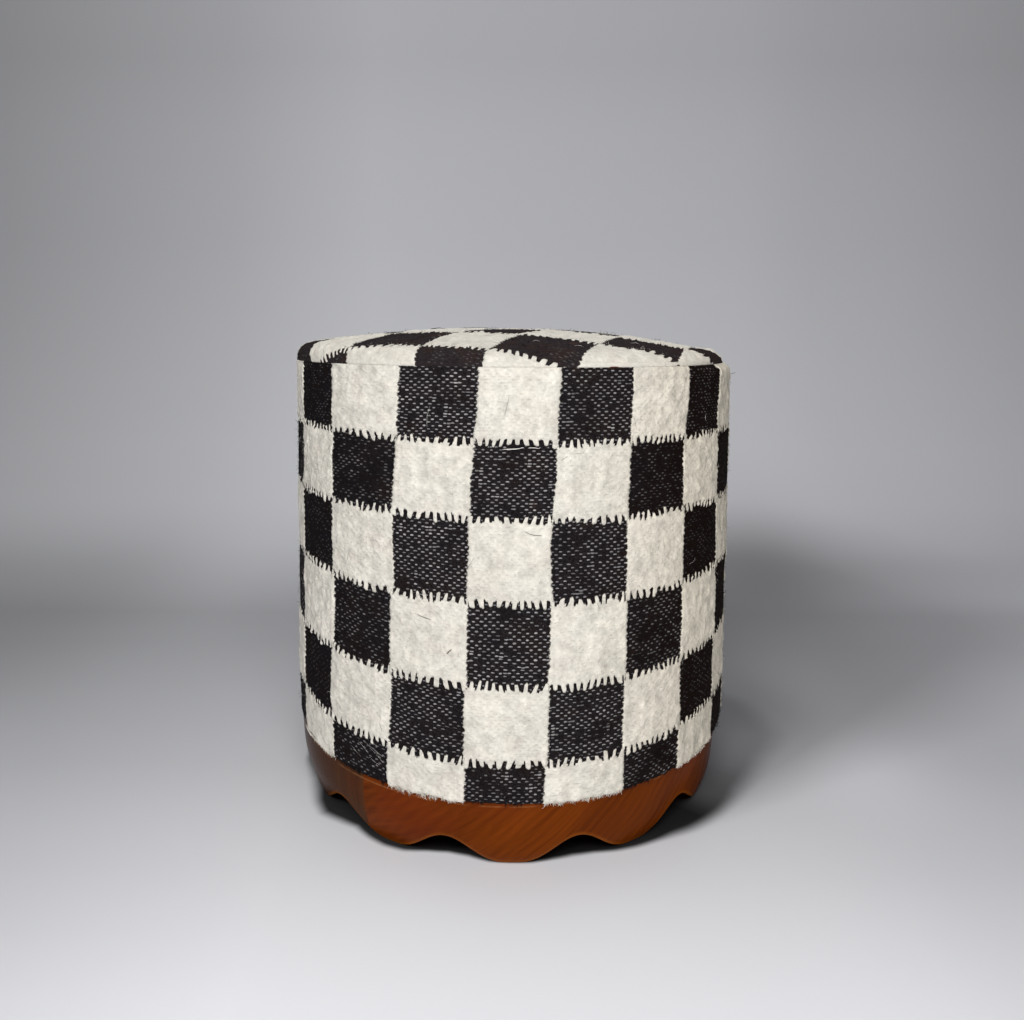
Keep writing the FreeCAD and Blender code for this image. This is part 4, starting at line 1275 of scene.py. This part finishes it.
strand_dark, strand_light, strand_brown = loose_strands()
strand_dark.data.materials.append(WOOL_BLACK)
strand_light.data.materials.append(yarn_material("wool_strand_light", (0.86, 0.84, 0.80), (0.66, 0.63, 0.58)))
strand_brown.data.materials.append(yarn_material("wool_strand_brown", (0.095, 0.030, 0.018), (0.035, 0.014, 0.010)))


# ================================================================ the plinth
LOBE_PHASE, PL_H, PL_TOP, PL_FOOT, PL_IN = 0.42, 53.0, 199.0, 191.5, 158.0


def plinth_bottom(theta):
    d = np.radians(theta - LOBE_PHASE)
    return np.maximum((20.9 + 0.30) * np.abs(np.sin(6 * d)) ** 2.9 - 0.30, 0.0)


def plinth_radius(theta, z):
    """Outer radius: swept inwards towards the floor, the ring a little off centre."""
    base = np.interp(z, (0.0, 5.0, 10.0, 16.0, 22.0, 28.0, 34.0, 40.0, 53.0), (191.2, 193.0, 194.5, 195.9, 197.0, 197.9, 198.5, 198.9, 199.0))
    return base - 2.3 * np.sin(np.radians(theta)) * np.clip(z / 25.0, 0.35, 1.0)


def build_plinth_segment(name, a0, a1, material):
    step = 0.375
    ths = np.linspace(a0, a1, int(round((a1 - a0) / step)) + 1)
    ths = np.concatenate([[a0 + 0.012], [a0 + 0.05, a0 + 0.12], ths[1:-1], [a1 - 0.12, a1 - 0.05], [a1 - 0.012]])
    ring = []
    for t in ths:
        zb = float(plinth_bottom(np.array(t)))
        edge = min(abs(t - a0), abs(t - a1)) * 3.4          # mm from the joint
        c = max(0.0, 0.35 - edge) if edge < 0.35 else 0.0   # small chamfer at the joint

        def ro(z):
            return float(plinth_radius(t, z)) - c

        e = 1.1                                             # rounded lower edges
        pts = []
        for k in range(4):                                  # outer lower edge
            g_ = k / 3 * math.pi / 2
            pts.append((ro(zb) - e + e * math.sin(g_), zb + c + e - e * math.cos(g_)))
        for z in np.linspace(zb + e + 0.8, PL_H - 2.6, 12):
            pts.append((ro(z), z))
        et = 1.3
        for k in range(4):                                  # outer top edge
            g_ = k / 3 * math.pi / 2
            pts.append((ro(PL_H) - et + et * math.cos(g_), PL_H - c - et + et * math.sin(g_)))
        pts.append(((PL_TOP + PL_IN) / 2, PL_H - c))
        for k in range(3):                                  # inner top edge
            g_ = k / 2 * math.pi / 2
            pts.append((PL_IN + c + 0.8 - 0.8 * math.sin(g_), PL_H - c - 0.8 + 0.8 * math.cos(g_)))
        for z in np.linspace(PL_H - 4, zb + 3, 4):
            pts.append((PL_IN + c, z))
        for k in range(3):                                  # inner lower edge
            g_ = k / 2 * math.pi / 2
            pts.append((PL_IN + c + 0.8 - 0.8 * math.cos(g_), zb + c + 0.8 - 0.8 * math.sin(g_)))
        for f_ in (0.25, 0.5, 0.75):
            pts.append((PL_IN + (PL_FOOT - PL_IN) * f_, zb + c))
        ring.append(pts)
    ring = np.array(ring)
    n, m, _ = ring.shape
    th = np.radians(ths)[:, None]
    P = np.stack([ring[..., 0] * np.sin(th), -ring[..., 0] * np.cos(th), ring[..., 1]], axis=-1).reshape(-1, 3)
    i, j = np.meshgrid(np.arange(n - 1), np.arange(m), indexing="ij")
    j1 = (j + 1) % m
    q = np.stack([i * m + j, (i + 1) * m + j, (i + 1) * m + j1, i * m + j1], axis=-1).reshape(-1, 4)
    cap0 = np.arange(m)[None, :]
    cap1 = ((n - 1) * m + np.arange(m))[::-1][None, :]
    ob = make_mesh(name, P, [q, cap0, cap1])
    orient_outwards(ob)
    add_values(ob, above=(ring[..., 1] - plinth_bottom(ths)[:, None]))
    ob.data.set_sharp_from_angle(angle=math.radians(50))
    ob.data.materials.append(material)
    return ob


SEGMENTS = {
    "front": (-35.8, 54.2, wood_material("plinth_wood_front", 8.0, (0.075, -0.150), 0.3, 1.0, twist=0.10)),
    "right": (54.2, 144.2, wood_material("plinth_wood_right", 98.0, (0.060, -0.170), 1.7, 0.92, twist=-0.08)),
    "back": (144.2, 234.2, wood_material("plinth_wood_back", 188.0, (0.090, -0.140), 3.1, 0.96, twist=0.05)),
    "left": (-125.8, -35.8, wood_material("plinth_wood_left", -82.0, (0.055, -0.160), 4.4, 0.76, light=(0.106, 0.037, 0.0130), dark=(0.046, 0.0165, 0.0065), twist=0.07)),
}
plinth = {}
for key, (a0, a1, mat) in SEGMENTS.items():
    plinth[key] = build_plinth_segment(f"plinth_segment_{key}_wood", a0, a1, mat)


# ================================================================= dust cover
def build_dust_cover():
    NR_, NA = 34, 192
    r = np.linspace(0, 156.0, NR_)[1:]
    a = np.arange(NA) / NA * 2 * np.pi
    Rg, Ag = np.meshgrid(r, a, indexing="ij")
    f = Rg / 156.0
    sag = 3.4 * (1 - f ** 2) ** 0.8
    pull = 0.9 * np.cos(12 * (Ag - 0.2)) * f ** 4 * (1 - f ** 3) * 2.2
    g_ = blur_noise((NR_ - 1, NA), 3, 5, 51)
    fold = 0.30 * g_ * (1 - f ** 8)
    z = 55.75 - sag - pull - fold * np.minimum(1, sag) * 0.9
    z = np.minimum(z, 56.2)
    low = np.stack([Rg * np.sin(Ag), -Rg * np.cos(Ag), z], axis=-1).reshape(-1, 3)
    up = low + np.array([0, 0, 0.5])
    c0 = np.array([[0, 0, z[0].mean()]])
    verts = np.concatenate([low, c0, up, c0 + [0, 0, 0.5]])
    n = len(low)
    m = NR_ - 1
    i, j = np.meshgrid(np.arange(m - 1), np.arange(NA), indexing="ij")
    j1 = (j + 1) % NA
    q = np.stack([i * NA + j, i * NA + j1, (i + 1) * NA + j1, (i + 1) * NA + j], axis=-1).reshape(-1, 4)
    k = np.arange(NA)
    fan = np.stack([k, np.full(NA, n), (k + 1) % NA], axis=1)
    up0 = n + 1
    q2 = (q + up0)[:, ::-1]
    fan2 = np.stack([k + up0, (k + 1) % NA + up0, np.full(NA, up0 + n)], axis=1)
    rim = np.stack([(m - 1) * NA + k, (m - 1) * NA + (k + 1) % NA, up0 + (m - 1) * NA + (k + 1) % NA, up0 + (m - 1) * NA + k], axis=1)
    ob = make_mesh("dust_cover_cloth", verts, [np.concatenate([q, q2, rim]), np.concatenate([fan, fan2])])
    orient_outwards(ob)
    return ob


dust = build_dust_cover()
dust.data.materials.append(MAT["dust_cloth"])


# ==================================================================== batting
def shell(name, outer, inner, closed):
    """Closed shell between two grids of points (rows, cols, 3); closed joins the columns."""
    n, m, _ = outer.shape
    verts = np.concatenate([outer.reshape(-1, 3), inner.reshape(-1, 3)])
    k = np.arange(m if closed else m - 1)
    k1 = (k + 1) % m
    i = np.arange(n - 1)[:, None] * m
    q = np.stack([i + k, i + m + k, i + m + k1, i + k1], axis=-1).reshape(-1, 4)
    faces = [q, (q + n * m)[:, ::-1]]
    for row in (0, n - 1):
        a = row * m
        faces.append(np.stack([a + k, a + k1, n * m + a + k1, n * m + a + k], axis=1)[:, ::(1 if row == 0 else -1)])
    if not closed:
        j = np.arange(n - 1) * m
        for col in (0, m - 1):
            faces.append(np.stack([j + col, j + m + col, n * m + j + m + col, n * m + j + col], axis=1)[:, ::(-1 if col == 0 else 1)])
    ob = make_mesh(name, verts, [np.concatenate(faces)])
    orient_outwards(ob)
    ob.data.materials.append(MAT["batting"])
    return ob


def build_side_batting():
    th = np.linspace(-179.9, 179.9, 241)
    f = np.concatenate([[0.0, 0.006], np.linspace(0.02, 0.94, 34), [0.96, 0.975, 0.99, 1.0]])
    F, TH = np.meshgrid(f, th, indexing="ij")
    top_h = 376.0 - 9.0 * shoulder(TH) / 7.0
    H = 57.3 + (top_h - 57.3) * F
    lump = 0.22 * blur_noise(F.shape, 2, 3, 301).clip(-2, 2)
    outer = side_point(TH, H, 0.0, T_CLOTH + 0.5) - 0.0
    rad = np.hypot(outer[..., 0], outer[..., 1])
    edge = np.clip(np.minimum(F, 1 - F) / 0.012, 0, 1)       # eased at both rims
    r = np.maximum(rad - 0.9 * (1 - edge) ** 2 - np.abs(lump), 193.8)
    t_ = np.radians(TH)
    outer = np.stack([r * np.sin(t_), -r * np.cos(t_), outer[..., 2]], axis=-1)
    inner = np.stack([193.3 * np.sin(t_), -193.3 * np.cos(t_), outer[..., 2]], axis=-1)
    return shell("side_batting_pad", outer, inner, False)


def build_top_batting():
    a = np.arange(192) / 192 * 2 * np.pi
    d = np.concatenate([[0.6], np.linspace(8.0, S_MEAN - 30.0, 24), S_MEAN - np.array([24.0, 19.0, 15.0, 12.0, 9.5, 7.6, 6.6, 6.0])])
    D, A_ = np.meshgrid(d, a, indexing="ij")
    q = np.stack([D * np.sin(A_), -D * np.cos(A_)], axis=-1)
    lump = 0.22 * np.abs(blur_noise(D.shape, 2, 3, 302)).clip(0, 2)
    right = 0.5 + 0.5 * np.sin(A_)
    thick = 1.3 + (4.1 - 2.0 * right ** 2) * Arr.ramp(S_MEAN - D, 6.0, 26.0)
    outer = top_point(q, -(0.5 + lump), T_CLOTH)[0]
    inner = top_point(q, -(0.5 + thick), T_CLOTH)[0]
    return shell("top_batting_pad", outer, inner, True)


side_pad = build_side_batting()
top_pad = build_top_batting()


# ============================================================== seams
def seam_stitches():
    """Stitches of wool thread in the groove of the back seam."""
    r = np.random.default_rng(61)
    paths, norms = [], []
    m = 64
    for k in range(m):
        z0 = 370.0 - k * (310.0 / m) + r.normal(0, 0.2)
        s = np.linspace(0, 1, 5)
        x = -1.6 + 3.2 * s
        z = z0 - 2.0 * s
        y = R_COVER - 0.85 + 0.6 * np.sin(s * np.pi)
        paths.append(np.stack([x, y, z], axis=-1))
        norms.append([0, 1, 0])
    paths = np.array(paths)
    rad = np.full(paths.shape[:2], 0.26)
    rad[:, 0] = rad[:, -1] = 0.14
    verts, faces = tubes(paths, rad, np.array(norms, float), 6)
    return make_mesh("seam_thread", verts, faces)


stitches = seam_stitches()
stitches.data.materials.append(yarn_material("seam_thread_wool", (0.34, 0.29, 0.23), (0.20, 0.16, 0.12)))


# ================================================================= inner nodes
SLOT_OF = {
    "frame_bottom_ring": "plywood", "frame_top_ring": "plywood", "frame_hardboard_wall": "hardboard",
    "plinth_tongues": "softwood", "plinth_screws": "screw_steel", "frame_screws_bottom": "screw_steel",
    "frame_screws_top": "screw_steel", "seat_hessian": "hessian", "seat_foam": "foam", "side_foam": "foam",
}
REPLACED = {"cover_side_panel", "cover_top_panel", "dust_cover", "side_batting", "top_batting", "plinth_segment_front", "plinth_segment_right", "plinth_segment_back", "plinth_segment_left"}
for n_, o_ in frame["nodes"].items():
    if n_ in REPLACED:
        continue
    if n_ in SLOT_OF:
        k_ = SLOT_OF[n_]
    elif n_.startswith("frame_post"):
        k_ = "softwood"
    elif n_.startswith("seat_webbing"):
        k_ = "webbing"
    elif "staples" in n_:
        k_ = "staple_steel"
    else:
        raise ValueError(n_)
    o_.data.materials.clear()
    o_.data.materials.append(MAT[k_])

for piece, node, slot in (
    (side, "cover_side_panel", "flatweave"), (top, "cover_top_panel", "flatweave"), (dust, "dust_cover", "dust_cloth"),
    (side_pad, "side_batting", "batting"), (top_pad, "top_batting", "batting"),
    (plinth["front"], "plinth_segment_front", "plinth_wood"), (plinth["right"], "plinth_segment_right", "plinth_wood"),
    (plinth["back"], "plinth_segment_back", "plinth_wood"), (plinth["left"], "plinth_segment_left", "plinth_wood"),
):
    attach(piece, "root")
    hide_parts(node)
WOOL = [cream_fuzz, black_fuzz, cream_tufts, black_tufts, strand_dark, strand_light, strand_brown, stitches]
for piece in WOOL:
    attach(piece, "root")


# ================================================================ the studio
def build_stage():
    prof = [(-3.2, 0.0), (-1.5, 0.0), (-0.6, 0.0), (0.0, 0.0), (0.30, 0.0)]
    cy, cz, rad = 0.30, 0.60, 0.60
    for k in range(1, 19):
        a = k / 18 * math.pi / 2
        prof.append((cy + rad * math.sin(a), cz - rad * math.cos(a)))
    prof += [(0.90, 1.2), (0.90, 3.0)]
    xs = np.linspace(-3.2, 3.2, 9)
    V = np.array([[[x, y, z] for x in xs] for y, z in prof]).reshape(-1, 3) / MM
    ob = make_mesh("studio_sweep", V, [grid_quads(len(prof), len(xs), flip=True)])
    g = Graph("studio_paper")
    x, y, z = g.split(g.obj())
    # painted light falloff on the paper: pale in front, greyer where the floor meets the wall
    along = y + g.ramp(z, 0.30, 1.10, 0.0, 1.0, smooth=False)
    ramp = g.t.nodes.new("ShaderNodeValToRGB")
    g.put(ramp.inputs[0], (along + 0.5) / 2.5)
    stops = ((-0.32, 0.955), (-0.27, 0.88), (-0.20, 0.765), (-0.13, 0.68), (-0.06, 0.59), (0.02, 0.535), (0.12, 0.482), (0.22, 0.440), (0.33, 0.430),
             (0.42, 0.508), (0.53, 0.612), (0.63, 0.670), (0.73, 0.680), (0.81, 0.665), (0.95, 0.650), (1.20, 0.622), (1.55, 0.556), (1.75, 0.500))
    cr = ramp.color_ramp
    while len(cr.elements) < len(stops):
        cr.elements.new(0.5)
    for e, (pos, x_) in zip(cr.elements, stops):
        e.position = (pos + 0.5) / 2.5
    for e, (pos, x_) in zip(cr.elements, stops):
        e.color = (x_, x_, x_, 1.0)
    grey = Sock(g, ramp.outputs[0])
    # painted light falloff across: darker to the left, wider towards the wall
    reach = g.ramp(y, -0.26, 0.26, 0.34, 0.60, smooth=False)
    across = g.t.nodes.new("ShaderNodeValToRGB")
    g.put(across.inputs[0], (x / reach + 1.9) / 3.8)
    xs_ = ((-1.80, 0.56), (-1.49, 0.63), (-1.20, 0.70), (-1.00, 0.75), (-0.84, 0.815), (-0.70, 0.87), (-0.50, 0.945), (0.0, 0.96), (0.50, 0.99), (0.80, 1.0), (1.05, 0.965), (1.35, 0.965), (1.80, 0.93))
    ca = across.color_ramp
    while len(ca.elements) < len(xs_):
        ca.elements.new(0.5)
    for e, (pos, x_) in zip(ca.elements, xs_):
        e.position = (pos + 1.9) / 3.8
    for e, (pos, x_) in zip(ca.elements, xs_):
        e.color = (x_, x_, x_, 1.0)
    fade = g.m("MULTIPLY", Sock(g, across.outputs[0]), 1.04)
    # painted light and shade: brighter again far right, darker in front to the right of the stool and at the far left
    # towards the wall; then two painted shadow pools right of the stool and a painted pool of light
    fade = fade * (1.0 + g.ramp(x, 0.38, 0.62) * g.ramp(along, -0.12, 0.15) * g.ramp(along, 0.50, 0.36) * 0.30)
    fade = fade * (1.0 - g.ramp(x, 0.20, 0.34) * g.ramp(y, -0.05, -0.20) * 0.06)
    fade = fade * (1.0 - g.ramp(x, -0.42, -0.70) * g.ramp(along, -0.05, 0.10) * g.ramp(along, 0.62, 0.45) * 0.14)

    # painted shadow pool of the stool on the paper; a negative amount paints a pool of light
    def painted_pool(cx, cy, sx, sy, amount):
        a_, b_ = (x - cx) / sx, (along - cy) / sy
        return 1.0 - g.m("EXPONENT", (a_ * a_ + b_ * b_) * -0.5) * amount

    fade = fade * painted_pool(0.265, 0.05, 0.040, 0.060, 0.30) * painted_pool(0.41, 0.48, 0.085, 0.10, 0.32) * painted_pool(0.31, -0.05, 0.05, 0.05, -0.18)
    # painted shadow of the stool on the paper: dark under the plinth, with a broad cast shadow to its right
    rho = g.m("SQRT", x * x + y * y)
    turn = g.m("ARCTAN2", x, y * -1.0)

    def around(table, low_, high_):
        """Value by angle in degrees from a table, in two halves, scaled from low_..high_."""
        halves = []
        for side_ in (-1, 1):
            part = sorted((abs(t_), x_) for t_, x_ in table if t_ * side_ >= 0)
            node = g.t.nodes.new("ShaderNodeValToRGB")
            g.put(node.inputs[0], g.absv(turn) / math.pi)
            el = node.color_ramp.elements
            while len(el) < len(part):
                el.new(0.5)
            for e_, (t_, x_) in zip(el, part):
                e_.position = t_ / 180.0
            for e_, (t_, x_) in zip(el, part):
                c_ = (x_ - low_) / (high_ - low_)
                e_.color = (c_, c_, c_, 1.0)
            halves.append(Sock(g, node.outputs[0]))
        pick = g.gt(turn, 0.0)
        return (halves[0] * (1.0 - pick) + halves[1] * pick) * (high_ - low_) + low_

    # where the painted shadow ends, how soft its edge is, and how much light is left inside it
    edge_mm = around(((-180, 188), (-90, 193), (-80, 197), (-75, 197.5), (-70, 195), (-65, 194), (-60, 197.5), (-55, 202.5), (-50, 205), (-45, 199.5), (-40, 195), (-35, 197.5),
                      (-30, 198.3), (-25, 196), (-20, 189.5), (-15, 185.5), (-10, 185.8), (-5, 190), (0, 190.7), (5, 191), (10, 188.6), (15, 187.4), (20, 189.5), (25, 194.4),
                      (30, 198), (35, 200.6), (40, 204), (45, 209.8), (50, 214), (55, 218), (60, 221), (65, 223.5), (70, 229), (75, 236), (80, 245), (85, 258), (90, 268), (105, 262), (130, 215), (180, 188)), 180.0, 280.0)
    soft_mm = around(((-180, 3), (-78, 4), (-70, 7), (-65, 9), (-60, 9), (-55, 7), (-45, 6), (-38, 4), (-30, 3.5), (-20, 3), (0, 2.6), (20, 3), (30, 3.5), (36, 4), (42, 7), (50, 8),
                      (55, 8.5), (60, 10), (65, 13), (75, 15), (80, 18), (90, 22), (130, 12), (180, 3)), 0.0, 30.0)
    depth = around(((-180, 0.03), (0, 0.03), (50, 0.03), (53, 0.07), (56, 0.13), (60, 0.20), (65, 0.24), (70, 0.31), (75, 0.43), (80, 0.525), (85, 0.60), (90, 0.67), (110, 0.75), (150, 0.40), (180, 0.03)), 0.0, 1.0)
    k_ = g.sat((rho * 1000.0 - edge_mm + soft_mm) / (soft_mm * 2.0))
    # painted shadow: the paper's tone is multiplied by this
    under = depth + (1.0 - depth) * (k_ * k_ * (3.0 - 2.0 * k_))
    n = g.noise(g.obj(), 3.0, 3.0)
    col = g.mix(1.0, grey, g.mix(n, (0.982, 0.985, 1.026), (0.968, 0.972, 1.012)), "MULTIPLY")
    ob.data.materials.append(g.finish(g.scale_col(col, fade * under), 0.85, None, Specular_IOR_Level=0.15))
    ob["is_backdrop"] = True
    return ob


build_stage()

# the lamps for the stool and the lamps for the paper are separate, as with flags
LIT_STOOL = bpy.data.collections.new("lit_stool")
LIT_PAPER = bpy.data.collections.new("lit_paper")
for o_ in bpy.context.scene.objects:
    if o_.type == "MESH":
        (LIT_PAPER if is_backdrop(o_) else LIT_STOOL).objects.link(o_)


def area_light(name, loc, target, size, energy, colour=(1, 1, 1), on=None):
    d = bpy.data.lights.new(name, "AREA")
    d.shape = "RECTANGLE"
    d.size, d.size_y = size
    d.energy = energy
    d.color = colour
    o = bpy.data.objects.new(name, d)
    bpy.context.scene.collection.objects.link(o)
    o.location = loc
    o.rotation_mode = "QUATERNION"
    o.rotation_quaternion = (Vector(target) - Vector(loc)).to_track_quat("-Z", "Y")
    if on is not None:
        o.light_linking.receiver_collection = on
    return o


MID = (0, 0, 0.22)
area_light("front", (0.0, -1.9, 0.6), MID, (1.0, 1.0), 17.0, (1.0, 0.985, 0.96), LIT_STOOL)
area_light("front_high", (0.0, -1.5, 1.5), MID, (1.0, 1.0), 20.0, (1.0, 0.985, 0.96), LIT_STOOL)
area_light("front_left", (-0.75, -1.75, 1.0), MID, (1.0, 1.0), 4.2, (0.93, 0.97, 1.0), LIT_STOOL)
area_light("overhead", (0.0, 0.1, 1.6), (0, 0, 0), (1.0, 1.0), 3.6, (1.0, 1.0, 1.0), LIT_STOOL)
area_light("rear_fill", (0.0, 0.72, 1.45), (0, 0, 0.25), (1.2, 0.3), 4.0, (0.96, 0.98, 1.0), LIT_STOOL)
area_light("paper_key", (-1.48, -1.18, 1.60), (0.1, 0.15, 0.0), (0.5, 0.5), 19.2 * 1.43, (1, 1, 1), LIT_PAPER)
area_light("paper_wide", (0.0, -1.6, 1.9), (0, 0.4, 0.3), (1.6, 1.0), 21.5 * 1.43, (1, 1, 1), LIT_PAPER)
world = bpy.data.worlds.new("studio_world")
world.use_nodes = True
world.node_tree.nodes["Background"].inputs[0].default_value = (0.80, 0.84, 0.90, 1)
world.node_tree.nodes["Background"].inputs[1].default_value = 0.0
bpy.context.scene.world = world

cam_data = bpy.data.cameras.new("camera")
cam_data.sensor_width = 36.0
cam_data.lens = 761.4 / 1024 * 36.0
cam_data.shift_x = -(513.6 - 512.0) / 1024
cam_data.shift_y = (392.3 - 510.0) / 1024
cam = bpy.data.objects.new("camera", cam_data)
bpy.context.scene.collection.objects.link(cam)
cam.location = (0.0, -0.7418, 0.3976)
cam.rotation_mode = "QUATERNION"
cam.rotation_quaternion = (Matrix.Rotation(math.radians(90 - 4.10), 4, "X") @ Matrix.Rotation(math.radians(0.42), 4, "Z")).to_quaternion()
bpy.context.scene.camera = cam
bpy.context.scene.view_settings.view_transform = "Standard"
bpy.context.scene.view_settings.look = "None"
